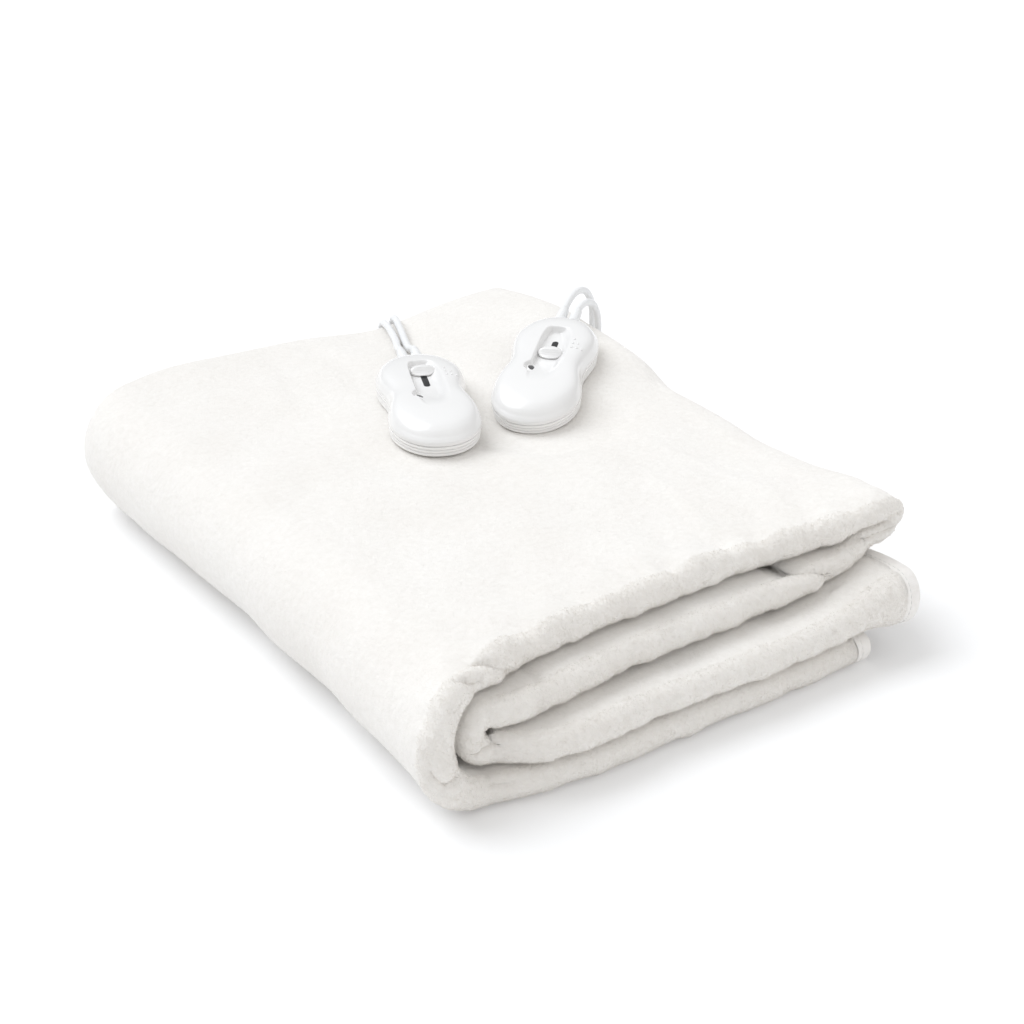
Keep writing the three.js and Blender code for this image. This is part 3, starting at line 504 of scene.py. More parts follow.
# Cords: the same routes as the solids, then the wound turns of each mains lead
CORD_RADIUS = 2.85
RELIEF = Sizes(start=-73.35, length=20.2, root=4.6, tip=3.5, across=5.2, height=10)
COIL = Sizes(radius=31.5, bottom=1.6, columns=4)
COILS = {"left": (15, 303), "right": (185, 303)}
PLUG = Sizes(length=34, taper=22, tip=3.6, tail=56, turn=0.14)
PIN_ROWS = ((0, 1.9), (0.3, 2), (10, 2), (10.2, 1.85), (10.4, 2), (17, 2), (18.2, 1.7), (18.8, 1.1), (19, 0.6))
GLANDS = {"left": (141, 188), "right": (141, 156)}
ROUTES = {
    "left_mains": (
        (35.9, 150.8, 95.9), (37.1, 153.8, 96), (39.5, 160, 93.8), (44, 169, 90.4), (49, 180, 87.4),
        (56, 195, 85.4), (64, 215, 83.4), (70, 232, 82.2), (74, 246, 81.2), (76, 253.5, 79.4),
        (77.5, 258.8, 75), (78.5, 262, 66), (79, 263, 50), (79, 264.5, 30), (77.5, 268, 17),
        (73, 274, 10.5), (66.5, 280.5, 8.6), (60, 288, 9.3), (56, 296, 10.1), (55.05, 303, 10.15)),
    "left_blanket": (
        (45.6, 147, 95.9), (46.8, 150.1, 96), (48, 156, 94), (51, 165, 90.8), (56, 177, 88),
        (63, 194, 86.1), (71, 213, 84.7), (78, 231, 83.9), (83.5, 246, 83.2), (86, 254, 81.2),
        (87.8, 259.4, 76), (89, 262.5, 66), (90.5, 263, 50), (93, 264, 30), (99, 264, 12.5),
        (110, 262.5, 4), (127, 259, 3.3), (148, 256, 3.3), (170, 252, 3.3), (188, 243, 3.3),
        (199, 228, 3.3), (201, 211, 3.3), (195, 198, 3.6), (183, 190, 6.6), (172, 188, 10.6),
        (166.3, 188, 11)),
    "right_mains": (
        (164.4, 122.6, 113), (166.7, 124.9, 113.5), (172, 130, 114.6), (181, 136.5, 117.2),
        (190, 141, 118.4), (199, 144.5, 115.3), (206, 147.5, 107), (210.5, 150.5, 94), (212.5, 153, 76),
        (213, 156, 52), (213, 160, 28), (213.3, 168, 11), (213.8, 183, 3.8), (215.5, 205, 3.3),
        (218.5, 232, 3.3), (221.5, 255, 3.8), (223.8, 275, 6.2), (224.9, 290, 9.4), (225.05, 303, 10.15)),
    "right_blanket": (
        (171.7, 115.2, 113), (174, 117.4, 113.5), (180, 121.5, 114.2), (188.5, 126.5, 113.3),
        (197, 130.5, 108.6), (203, 133.5, 98.5), (206, 136, 84), (207, 139, 64), (207, 143.5, 40),
        (205, 149.5, 19), (197, 153.5, 7.5), (184, 155.5, 7), (174, 156, 10.4), (166.3, 156, 11)),
}


def through(points, step):
    """A smooth curve through points (centripetal Catmull-Rom), in even steps of about the given length."""
    p = np.asarray(points, float)
    p = np.vstack([2 * p[0] - p[1], p, 2 * p[-1] - p[-2]])
    out = []
    for i in range(1, len(p) - 2):
        a, b, c, d = p[i - 1:i + 3]
        t1 = np.linalg.norm(b - a) ** 0.5
        t2 = t1 + np.linalg.norm(c - b) ** 0.5
        t3 = t2 + np.linalg.norm(d - c) ** 0.5
        for t in np.linspace(t1, t2, 24, endpoint=False):
            def between(p0, p1, start, end):
                return (end - t) / (end - start) * p0 + (t - start) / (end - start) * p1

            middle = between(b, c, t1, t2)
            early, late = between(between(a, b, 0, t1), middle, 0, t2), between(middle, between(c, d, t2, t3), t1, t3)
            out.append(between(early, late, t1, t2))
    out.append(p[-2])
    return evenly(out, step)


def evenly(points, step):
    points = np.asarray(points, float)
    run = np.concatenate([[0], np.cumsum(np.linalg.norm(np.diff(points, axis=0), axis=1))])
    at = np.linspace(0, run[-1], max(int(round(run[-1] / step)), 2) + 1)
    return np.stack([np.interp(at, run, points[:, k]) for k in range(3)], -1)


def path_length(points):
    return float(np.linalg.norm(np.diff(points, axis=0), axis=1).sum())


def coil_turns(centre):
    """Eight turns and a quarter: four inward on top, then four outward below them."""
    d = 2 * CORD_RADIUS
    outer = COIL.radius + (COIL.columns - 1) * CORD_RADIUS
    low = COIL.bottom + CORD_RADIUS
    radii = [outer - d * k for k in (0, 1, 2, 3, 3, 2, 1, 0, 0, 0)]
    heights = [low + d] * 4 + [low] * 6
    out = []
    for k in range(9):
        for turn in np.arange(0, 90 if k == 8 else 360, 7.5):
            w = float(ease((turn - 300) / 60))
            r = radii[k] + w * (radii[k + 1] - radii[k])
            z = heights[k] + w * (heights[k + 1] - heights[k])
            a = radians(turn)
            out.append((centre[0] + r * cos(a), centre[1] + r * sin(a), z))
    return out


def tail_route(centre):
    y = centre[1] + COIL.radius + (COIL.columns - 1) * CORD_RADIUS
    z = COIL.bottom + CORD_RADIUS
    return [(centre[0] - PLUG.tail * t, y - 4 * t * t, z + 5.2 * t * t * (3 - 2 * t))
            for t in (0, 0.25, 0.5, 0.75, 1)]


def tube(path, radius):
    """A closed tube along a path, with frames that don't twist."""
    path = np.asarray(path, float)
    tangent = unit(np.gradient(path, axis=0))
    side = np.cross(tangent[0], (0, 0, 1.0))
    if np.linalg.norm(side) < 0.1:
        side = np.cross(tangent[0], (1.0, 0, 0))
    turn = full_turn(14)
    rings = []
    for p, t in zip(path, tangent):
        side = unit(side - t * np.dot(side, t))
        up = np.cross(side, t)
        rings.append(p + radius * (np.cos(turn)[:, None] * side + np.sin(turn)[:, None] * up))
    return stacked_rings(rings)


def cord_piece(name, path):
    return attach(mesh_object(name, tube(path, CORD_RADIUS), CORD_WHITE), BODY)


def plug_pieces(side, centre):
    """A two-pin plug: ribbed sleeve, grip and a flat face with its pins."""
    tip = tail_route(centre)[-1]
    at = (tip[0] - 0.3, tip[1], tip[2])
    turn = (0, 0, 180 + degrees(PLUG.turn))
    taper = PLUG.taper
    rings = []
    for k in range(23):
        x = taper * k / 22
        grow = 2 * PLUG.tip + (10 - 2 * PLUG.tip) * k / 22
        size = grow - (1 if k % 3 == 2 and 1 < k < 21 else 0)
        rings.append(block_ring(x, size, size, size / 2 - 0.05))
    rings += [block_ring(taper + x, *size) for x, *size in (
        (1.5, 13, 12, 5), (3, 18, 14, 5), (6, 23.6, 16.8, 5.2), (9, 26, 18, 5.2), (14, 24.6, 17.4, 5),
        (20, 24.4, 17.2, 5), (27, 25.6, 18, 5), (31, 26, 18, 5), (32.6, 25.4, 17.4, 4.8), (33.6, 24, 16, 4.4),
        (34, 22, 14, 4))]
    body = mesh_object(f"{side}_plug_body", stacked_rings(rings), CORD_WHITE, turn, at)
    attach(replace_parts(body, f"{side}_plug"), BODY)
    out = [body]
    for k, sign in ((1, -1), (2, 1)):
        points, faces = turned(PIN_ROWS, 28)
        points[:, 0] += taper + PLUG.length + 0.3
        points[:, 1] += sign * 9.5
        pin = mesh_object(f"{side}_pin_{k}", (points, faces), PIN_METAL, turn, at)
        out.append(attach(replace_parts(pin, f"{side}_plug_pin_{k}"), BODY))
    return out


STRAP_SECTION = ((-4, 0.15), (-3.6, 0), (3.6, 0), (4, 0.15), (4, 0.85), (3.6, 1), (-3.6, 1), (-4, 0.85))


def tie_piece(side, centre):
    """A wrapped strap round the coil's turns, with rounded edges."""
    inner = COIL.radius - COIL.columns * CORD_RADIUS - 0.95
    outer = COIL.radius + COIL.columns * CORD_RADIUS + 0.3
    low, high = COIL.bottom - 0.3, COIL.bottom + 4 * CORD_RADIUS + 0.3
    middle, half_x, half_z = (inner + outer) / 2, (outer - inner) / 2, (high - low) / 2
    rings = []
    for turn in full_turn(48):
        cx, cz = (copysign(abs(v) ** 0.35, v) for v in (cos(turn), sin(turn)))
        rings.append([(middle + (half_x + lift) * cx, width, (low + high) / 2 + (half_z + lift) * cz)
                      for width, lift in STRAP_SECTION])
    obj = mesh_object(f"{side}_strap", looped(rings), SLEEVE_WHITE, (0, 0, 230), (*centre, 0))
    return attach(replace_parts(obj, f"{side}_coil_tie"), BODY)


def gland_piece(side):
    """The moulded gland that takes the blanket lead into the cloth, with a grooved sleeve."""
    rings = [block_ring(*row) for row in (
        (0, 28, 11, 2.2), (0.5, 29.4, 12.4, 2.6), (1.2, 30, 13, 2.8), (9.8, 30, 13, 2.8), (11.4, 29.2, 12.3, 2.7),
        (12.6, 27, 10.8, 2.4), (13, 24, 9.6, 2.2), (13.2, 12, 9.4, 4.4))]
    for k in range(22):
        groove = 0.9 if k % 4 == 3 else 0
        height = 9.2 - 0.09 * k - groove
        rings.append(block_ring(13.6 + k * 0.52, 9.6 - 0.1 * k - groove, height, height / 2 - 0.05))
    rings.append(block_ring(25, 7.2, 7.2, 3.55))
    gland = mesh_object(f"{side}_cloth_gland", stacked_rings(rings), SLEEVE_WHITE, at=(*GLANDS[side], 11))
    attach(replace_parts(gland, f"{side}_gland"), BODY)


for side, centre in COILS.items():
    free = through(ROUTES[f"{side}_mains"], 3.0)
    tail = through(tail_route(centre), 3.0)
    path = evenly(np.vstack([free[:-1], coil_turns(centre), tail]), 3.2)
    flex = cord_piece(f"{side}_mains_flex", path)
    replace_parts(flex, f"{side}_mains_cord", f"{side}_coil", f"{side}_tail_cord")
    with_flex = [*plug_pieces(side, centre), tie_piece(side, centre)]
    length = round(path_length(path) * MM, 2)
    path = through(ROUTES[f"{side}_blanket"], 3.0)
    lead = cord_piece(f"{side}_blanket_flex", path)
    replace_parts(lead, f"{side}_blanket_cord")
    gland_piece(side)


# The cloth
# Soft creases of the outer face: points, depth (minus for a ridge), half width
CREASES = (
    (((-149, -241, 81.5), (-146.5, -241.6, 79.8), (-141.3, -242.9, 76.3), (-134.8, -240.8, 73.5)), 2.8, 2.2),
    (((-151, -243.5, 75), (-143, -245.5, 70.5)), -1.6, 4),
    (((-133, -234, 83.5), (-129.3, -235.2, 81.6), (-121.9, -236.3, 76.4), (-113.5, -232.7, 69.6)), 2.6, 2.4),
    (((-138, -239, 81), (-130.5, -240.5, 75.5)), -1.7, 4.5),
    (((-112, -226, 80), (-96, -228, 76)), -1.3, 6),
    (((-104, -231, 77), (-99, -230, 70.5)), 1.2, 2.6),
    (((-156.4, -252.9, 31.7), (-161.7, -256.1, 29.8), (-167.1, -256.1, 30.2), (-172.7, -254.7, 37.6)), 4.2, 2.8),
    (((-160, -255, 40), (-167, -256, 39)), -2, 6.5),
    (((-166, -254, 66), (-172, -252, 58)), -1.2, 6),
    (((-157, -250, 68), (-160, -253, 58)), 1.3, 3),
    (((-127.7, -246, 42), (-130.6, -246.5, 38.5), (-137.2, -248.1, 35.4), (-143.7, -246.4, 33.3)), 2.6, 2),
    (((-151, -247, 50), (-144.7, -247, 42), (-137, -247, 39)), 1.4, 2.4),
    (((-115.5, -248, 45), (-114.7, -251.7, 40.1)), 1.4, 1.6),
    (((-96, -236, 63.5), (-97, -239.3, 61.8), (-99.5, -247.6, 55.4), (-102.3, -247.5, 48.4)), 1.9, 2.2),
    (((-106, -245, 62), (-110, -249, 55)), -1.4, 5.5),
    (((-135.4, -246, 19.5), (-135.6, -252.4, 16)), 1.6, 1.8),
    (((82, -218, 64), (99.5, -221.7, 62.7), (110.7, -227.1, 61.3), (119.9, -229.2, 56.7), (125, -228, 48)), 3.2, 2.6),
    (((98, -229, 57.5), (110, -231.5, 55.5), (117, -231.5, 51)), -1.6, 4),
    (((131, -226, 58), (129.1, -227.6, 54.7), (124.5, -228.5, 46.5)), 3, 1.7),
    (((182.5, -223.6, 79.9), (170, -223.4, 76.8), (152, -220, 71)), 2.6, 2.2),
    (((184, -219, 70), (177.8, -220.9, 68.6), (158.5, -221, 68.9)), 2.6, 2),
    (((-5, 235, 83), (-0.4, 215, 83), (-1.3, 161.7, 84.4), (-9.4, 110, 83.8), (-30, 70, 84)), 1.6, 9),
    (((-34, 245, 84), (-37.2, 229, 84), (-44.5, 170.6, 83.9), (-60, 130, 84)), 1.2, 8),
    (((20, -50, 83.6), (47.9, -67.7, 83.6), (69.2, -94.5, 83.5), (84, -120, 83.5)), -0.8, 5),
    (((108, -40, 83), (116.4, -74.5, 83), (123.6, -118.9, 82.6), (126.9, -163.9, 84.5), (122, -196, 84)), -0.9, 5),
    (((80, -110, 83.5), (76.3, -134.8, 83.4), (70.6, -164.2, 83.5), (60.7, -191.5, 83.5)), -0.9, 5),
    (((166, -20, 81), (165.8, -77.2, 81.1), (164.3, -125.4, 81.9), (160, -170, 84)), -1, 6),
)


def distance_to(points, line):
    """How far points lie from a line of short pieces."""
    best = np.full(points.shape[:-1], 1e9)
    for a, b in zip(line[:-1], line[1:]):
        a, b = np.asarray(a, float), np.asarray(b, float)
        along_line = b - a
        t = np.clip(((points - a) @ along_line) / (along_line @ along_line), 0, 1)
        best = np.minimum(best, np.linalg.norm(points - a - t[..., None] * along_line, axis=-1))
    return best


def ripple(points, rows):
    """A sum of slow waves: each row has a wave vector per 100 mm, a phase and a height."""
    out = 0
    for kx, ky, kz, phase, height in rows:
        across = points[..., 0] * kx + points[..., 1] * ky + points[..., 2] * kz
        out = out + height * np.sin(2 * pi * across / 100 + phase)
    return out


FOLD_RIPPLES = ((0.8, 0.2, 0.5, 1.2, 0.55), (1.9, 0.3, 0.2, 0.4, 0.45), (3.1, -0.4, 1.1, 2.1, 0.4),
                (4.7, 0.5, -0.8, 4, 0.34), (6.6, 1.4, 1.9, 0.9, 0.26), (9.4, -2.2, 2.6, 3.3, 0.18),
                (13.1, 2, -3.1, 5.2, 0.12))
FACE_RIPPLES = ((0.9, 0.5, 0, 0.3, 0.6), (-0.4, 1.1, 0, 2.2, 0.5), (1.7, -0.8, 0, 4.4, 0.35), (2.3, 1.9, 0, 1, 0.2))
EDGE_RIPPLES = ((1.6, 2.2, 0, 0.6, 1.2), (2.9, -1.4, 0, 2.6, 0.8), (4.4, 0.8, 0, 4.4, 0.4), (0.9, 2.6, 0, 1.9, 0.5))


def worked_face(points, q):
    """How far the outer face stands out or in from its smooth form."""
    layer = np.clip(np.floor(q).astype(int), 0, 6)[None, :] + 0 * points[..., 0].astype(int)
    share = q[None, :] - layer

    def on_layers(near_fold_share, top_share):
        return np.where(layer == 1, near_fold_share, np.where(layer == 2, top_share, 0))

    fold = on_layers(ease(share / 0.3), np.exp(-((share / 0.035) ** 2)))
    face = on_layers(0, ease(share / 0.08))
    verge = on_layers(ease(share / 0.5), np.exp(-((share / 0.1) ** 2))) * ease((points[..., 2] - 60) / 20)
    out = fold * ripple(points, FOLD_RIPPLES) + face * ripple(points, FACE_RIPPLES)
    out = out + verge * ripple(points, EDGE_RIPPLES)
    for line, depth, width in CREASES:
        d = distance_to(points, line)
        out = out - depth * np.exp(-((d / width) ** 2)) * ((layer == 1) | (layer == 2))
    for c in CONTROLLERS.values():
        reach, _ = seat_reach(c, points[..., 0], points[..., 1])
        clear = ease((reach - 2) / 14)
        out = np.where(points[..., 2] > 78, out * clear, out)
    return out


def cloth_slab(s, q, share, end=None):
    """The solid of a length of the sheet, its outer face and that face's normals. A tape thins out at its end."""
    points, normal, half = sheet_faces(s, q, share)
    if end is None:
        points = points + normal * worked_face(points + normal * half[..., None], q)[..., None]
        normal = unit(np.cross(np.gradient(points, axis=0), np.gradient(points, axis=1)))
    else:
        half = half * end[:, None]
    outer = points + normal * half[..., None]
    inner = points - normal * half[..., None]
    n, m = half.shape
    both = np.concatenate([outer.reshape(-1, 3), inner.reshape(-1, 3)])
    both[:, 2] = np.where(both[:, 2] < REST_BAND, 0, both[:, 2])
    faces = [*grid_faces(n, m), *grid_faces(n, m, offset=n * m, flip=True)]
    rim = border(np.arange(n * m).reshape(n, m))
    following = np.roll(rim, -1)
    faces += zip(rim, rim + n * m, following + n * m, following)
    return (both, outward(both, faces)), outer, normal


FINE_S = stations([24, 56, 110, 26, 64, 28, 64])
FINE_Q = stations([3, 36, 66, 6, 3, 12, 3])
# Finer near the edge, where the face turns down
FINE_Q = np.where((FINE_Q > 2) & (FINE_Q < 3), 2 + np.clip(FINE_Q - 2, 0, 1) ** 1.6, FINE_Q)
solid, outer_face, outer_normal = cloth_slab(FINE_S, FINE_Q, CLOTH_SHARE)
fleece = mesh_object("folded_fleece", solid, FLEECE)
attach(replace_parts(fleece, "blanket"), BODY)


FIBRE_WIDTH = 0.11


def fibres(name, count, first, last, long, seed):
    """The nap: short bent fibres on the outer face, between two stations of the fold's section."""
    draw = np.random.default_rng(seed)
    j0, j1 = np.searchsorted(FINE_Q, first), np.searchsorted(FINE_Q, last)
    p = outer_face[:, j0:j1 + 1]
    a, b, c, d = p[:-1, :-1], p[1:, :-1], p[1:, 1:], p[:-1, 1:]
    area = np.linalg.norm(np.cross(c - a, d - b), axis=-1).ravel()
    pick = draw.choice(len(area), count, p=area / area.sum())
    u, v = draw.random((2, count, 1))
    cells = [part.reshape(-1, 3)[pick] for part in (a, b, c, d)]
    root = cells[0] * (1 - u) * (1 - v) + cells[1] * u * (1 - v) + cells[2] * u * v + cells[3] * (1 - u) * v
    normal = outer_normal[:-1, j0:j1].reshape(-1, 3)[pick]
    lean = draw.normal(size=(count, 3))
    lean = unit(lean - normal * np.einsum("ij,ij->i", lean, normal)[:, None])
    across = np.cross(normal, lean)
    length = long * (0.45 + 0.55 * draw.random((count, 1)) ** 0.7)
    rise = 0.25 + 0.55 * draw.random((count, 1))
    elbow = root + length * (0.55 * rise * normal + 0.35 * lean)
    tip = root + length * (rise * normal * 0.85 + 0.95 * lean)
    root = root - 0.15 * normal
    wide = FIBRE_WIDTH / 2 * across
    points = np.stack([root - wide, root + wide, elbow + 0.8 * wide, tip], 1).reshape(-1, 3)
    points[:, 2] = np.maximum(points[:, 2], 0.05)
    base = 4 * np.arange(count)[:, None]
    faces = np.concatenate([base + (0, 1, 2), base + (0, 2, 3)])
    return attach(mesh_object(name, (points, faces), FLEECE_NAP_PAINTED_LIGHT), BODY)


STITCH = Sizes(pitch=3.9, long=2.9, thick=0.55)


def needle_line(name, s):
    """A row of stitches along a line of the cloth's outer face."""
    points, normal, half = sheet_faces(np.array([s]), np.linspace(0.02, 6.98, 2400), 0.80)
    line = evenly((points + normal * (half[..., None] + 0.1))[0], 2.0)
    line[:, 2] = np.maximum(line[:, 2], 0.3)
    mesh = bpy.data.meshes.new(name + "_line")
    mesh.from_pydata([tuple(p) for p in to_metres(line)], [(k, k + 1) for k in range(len(line) - 1)], [])
    carrier = linked(name + "_line", mesh)
    tree = bpy.data.node_groups.new(name + "_stitches", "GeometryNodeTree")
    for way in ("INPUT", "OUTPUT"):
        tree.interface.new_socket("Geometry", in_out=way, socket_type="NodeSocketGeometry")
    curve = added(tree, "GeometryNodeMeshToCurve", Mesh=tree.nodes.new("NodeGroupInput").outputs[0])
    spaced = added(tree, "GeometryNodeResampleCurve", Curve=curve.outputs["Curve"])
    spaced.mode = "LENGTH"
    spaced.inputs["Length"].default_value = STITCH.pitch * MM
    ball = added(tree, "GeometryNodeMeshUVSphere", Segments=8, Rings=5, Radius=1.0)
    stitch = added(tree, "GeometryNodeTransform", Geometry=ball.outputs["Mesh"],
                   Scale=(STITCH.long / 2 * MM, STITCH.thick / 2 * MM, STITCH.thick / 2 * MM))
    align = added(tree, "FunctionNodeAlignRotationToVector",
                  Vector=tree.nodes.new("GeometryNodeInputTangent").outputs["Tangent"])
    align.axis = "X"
    row = added(tree, "GeometryNodeInstanceOnPoints", Points=spaced.outputs["Curve"],
                Instance=stitch.outputs["Geometry"], Rotation=align.outputs["Rotation"])
    real = added(tree, "GeometryNodeRealizeInstances", Geometry=row.outputs["Instances"])
    done = added(tree, "GeometryNodeSetMaterial", Geometry=real.outputs["Geometry"], Material=THREAD)
    tree.links.new(done.outputs["Geometry"], tree.nodes.new("NodeGroupOutput").inputs[0])
    carrier.modifiers.new("stitches", "NODES").node_group = tree
    bpy.context.view_layer.update()
    sewn = bpy.data.meshes.new_from_object(carrier.evaluated_get(bpy.context.evaluated_depsgraph_get()))
    bpy.data.objects.remove(carrier)
    if not sewn.materials:
        sewn.materials.append(THREAD)
    smooth(sewn)
    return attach(linked(name, sewn), BODY)


for name, node, part in (("floor_end_tape", "tape_floor_end", 0), ("third_end_tape", "tape_third_end", 6)):
    length = abs(WAY[part][3] - WAY[part][2])
    across = np.array([-1.6, -1.3, -0.8, 0.6, 1.7, 2.2, 2.8, 4.0, 6.0, 7.6, 8.8, 9.5, 10.0, 10.3])
    body = np.array([0.80, 0.92, 0.97, 0.98, 0.95, 0.92, 0.96, 1, 1, 0.98, 0.9, 0.76, 0.58, 0.34])
    s = -across[::-1] / length if part == 0 else 7 + across / length
    solid, *_ = cloth_slab(s, FINE_Q, 0.86, body[::-1] if part == 0 else body)
    tape = mesh_object(name, solid, TAPE)
    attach(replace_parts(tape, node), BODY)
    seam = -2.2 / length if part == 0 else 7 + 2.2 / length
    needle_line(name.replace("tape", "stitches"), seam)

fibres("near_fold_nap", 84000, 1.0, 2.0, 1.45, 11)
fibres("top_nap", 36000, 2.0, 3.0, 1.0, 12)


# The controllers
BODY_WAIST, BODY_WAIST_REACH = 0.23, 0.38
CHANNEL = Sizes(back=-44, front=36, left=-8.6, right=12.5, floor=18)
SLOT = Sizes(back=-29.5, front=-7, across=1.5, width=4.5)
KNOB = Sizes(length=13, width=18, rise=5.4, lift=0.4)
LAMP = Sizes(x=15.5, y=-6.8, long=9, wide=6)
DOTS = Sizes(back=-26, pitch=6, across=16, row=3.6, radius=1.05)
DOME_SCALES = (0, 0.25, 0.52, 0.72, 0.845, 0.915, 0.948, 0.968, 0.985, 1)
DOME_HEIGHTS = (23.55, 23.5, 23.3, 22.4, 20.6, 18.1, 16, 14.2, 13, 11.6)


def half_width(u):
    """Half the controller's width at a share of its half length."""
    u = np.clip(np.abs(u), 0, 1)
    waist = 1 - BODY_WAIST * np.exp(-((u / BODY_WAIST_REACH) ** 2))
    return BODY_WIDTH / 2 * waist * np.maximum(1 - u**2.6, 0) ** (1 / 2.2)


def dome_height(x, y):
    """Height of the dome over a place, from the ring of the outline that passes through it."""
    low = np.clip(np.abs(x) / (BODY_LENGTH / 2), 1e-6, 1) + 0 * y
    high = np.ones_like(low)
    for _ in range(30):
        middle = (low + high) / 2
        inside = middle * half_width(x / (middle * BODY_LENGTH / 2)) < np.abs(y)
        low, high = np.where(inside, middle, low), np.where(inside, high, middle)
    return along(DOME_SCALES, DOME_HEIGHTS, (low + high) / 2)


def channel_edges(x):
    """The channel's two sides, a steep one and one that slopes away, closing in at its round ends."""
    middle, half = (CHANNEL.front + CHANNEL.back) / 2, (CHANNEL.front - CHANNEL.back) / 2
    u = np.clip(np.abs(x - middle) / (half + 2), 0, 1)
    narrow = np.maximum((1 - u**5), 0.05) ** (1 / 3)
    left = CHANNEL.left * narrow - 3.6 * np.exp(-(((x - LAMP.x) / 5.6) ** 4))
    right = (CHANNEL.right + 1.5 * np.sin(pi * np.clip((x - CHANNEL.back) / 80, 0, 1))) * narrow
    limit = 0.56 * half_width(x / (BODY_LENGTH / 2))
    return np.maximum(left, -limit), np.minimum(right, limit)


def shell_height(x, y):
    top = dome_height(x, y)
    left, right = channel_edges(x)
    slope = 8.5
    across = ease((y - left + 0.7) / 2.6) * (1 - ease((y - right + slope - 0.8) / slope))
    lengthwise = ease((x - CHANNEL.back + 0.6) / 3.0) * (1 - ease((x + 6) / (CHANNEL.front + 9)) ** 1.1)
    floor = 17.9 + 0.6 * ease((x - 2) / 30)
    return top - np.maximum(top - floor, 0) * across * lengthwise


def shell_piece(side, c):
    x = BODY_LENGTH / 2 * np.sin(np.linspace(-pi / 2, pi / 2, 150))
    extra = np.concatenate([np.linspace(CHANNEL.back - 1, CHANNEL.back + 3, 9), np.linspace(8, 29, 16)])
    x = np.unique(np.round(np.concatenate([x, extra]), 3))
    wide = np.maximum(half_width(x / (BODY_LENGTH / 2)), 1e-4)
    left, right = channel_edges(x)

    def bend(count):
        return 1 - np.cos(np.linspace(0, pi / 2, count))

    rows = []
    for xi, w, a, b in zip(x, wide, left, right):
        keep = float(ease((w - 14) / 8))
        stops = [keep * p + (1 - keep) * share * w for p, share in
                 ((-w, -1), (a - 1.0, -0.6), (a + 2.2, -0.2), (b - 8.2, 0.2), (b + 1.6, 0.6), (w, 1))]
        y = np.sort(np.concatenate([
            stops[0] + (stops[1] - stops[0]) * bend(26)[:-1],
            *(np.linspace(stops[k], stops[k + 1], count)[:-1] for k, count in ((1, 9), (2, 11), (3, 14))),
            stops[5] - (stops[5] - stops[4]) * bend(26)[::-1]]))
        rows.append(np.stack([np.full_like(y, xi), y, shell_height(xi + 0 * y, y)], -1))
    top = np.asarray(rows)
    n, m, _ = top.shape
    faces = list(grid_faces(n, m))
    rim = border(np.arange(n * m).reshape(n, m).T)
    loop = top.reshape(-1, 3)[rim]
    points = [top.reshape(-1, 3)]
    base = n * m
    previous = rim
    for z, scale in ((10.9, 1.003), (10.0, 1.005), (9.0, 1.004), (8.55, 0.999), (8.3, 0.985)):
        points.append(np.stack([loop[:, 0] * scale, loop[:, 1] * scale, np.full(len(loop), z)], -1))
        following = base + np.arange(len(loop))
        faces += zip(previous, following, np.roll(following, -1), np.roll(previous, -1))
        previous, base = following, base + len(loop)
    points.append(np.array([[0, 0, 8.3]]))
    faces += [(a, base, b) for a, b in zip(previous, np.roll(previous, -1))]
    points = np.concatenate(points)
    shell = mesh_object(f"{side}_cover", (points, outward(points, faces)), GLOSS_WHITE, *seat(c))
    clean(shell)
    dots = []
    for row in range(3):
        for k in range(row + 1):
            px, py = DOTS.back + row * DOTS.pitch, DOTS.across + k * DOTS.row
            pz = float(shell_height(np.array([px]), np.array([py]))[0])
            rings = [[(px + DOTS.radius * cos(lat) * cos(t),
                       py + DOTS.radius * cos(lat) * sin(t), pz - 0.25 + 0.95 * sin(lat))
                      for t in full_turn(16)] for lat in np.linspace(-0.6, 1.5, 8)]
            dots.append(stacked_rings(rings))
    marks = mesh_object(f"{side}_level_dots", joined(dots), GLOSS_WHITE, *seat(c))
    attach(marks, BODY)
    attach(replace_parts(shell, f"{side}_shell"), BODY)


def clean(obj):
    """Merge doubled points and leave out faces that have shrunk to nothing."""
    gap = 2e-6
    bm = bmesh.new()
    bm.from_mesh(obj.data)
    bmesh.ops.remove_doubles(bm, verts=bm.verts, dist=gap)
    bmesh.ops.dissolve_degenerate(bm, dist=gap / 4, edges=bm.edges)
    bm.to_mesh(obj.data)
    bm.free()
    smooth(obj.data)


def outline_ring(scale, z, count=160):
    turn = 2 * pi * (np.arange(count) + 0.5) / count
    u = np.cos(turn)
    x, y = BODY_LENGTH / 2 * u * scale, np.sign(np.sin(turn)) * half_width(u) * scale
    return np.stack([x, y, np.full(count, float(z))], -1)


def base_piece(side, c):
    rows = ((0, 0.948), (0.3, 0.964), (1.0, 0.975), (2.7, 0.982), (2.85, 0.97), (3.15, 0.97), (3.3, 0.983),
            (5.3, 0.993), (5.45, 0.982), (5.75, 0.982), (5.9, 0.995), (7.5, 0.998), (7.85, 0.993), (8.0, 0.98))
    solid = stacked_rings([outline_ring(scale, z) for z, scale in rows])
    obj = mesh_object(f"{side}_underside", solid, BASE_WHITE_PAINTED_LIGHT, *seat(c))
    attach(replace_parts(obj, f"{side}_base"), BODY)


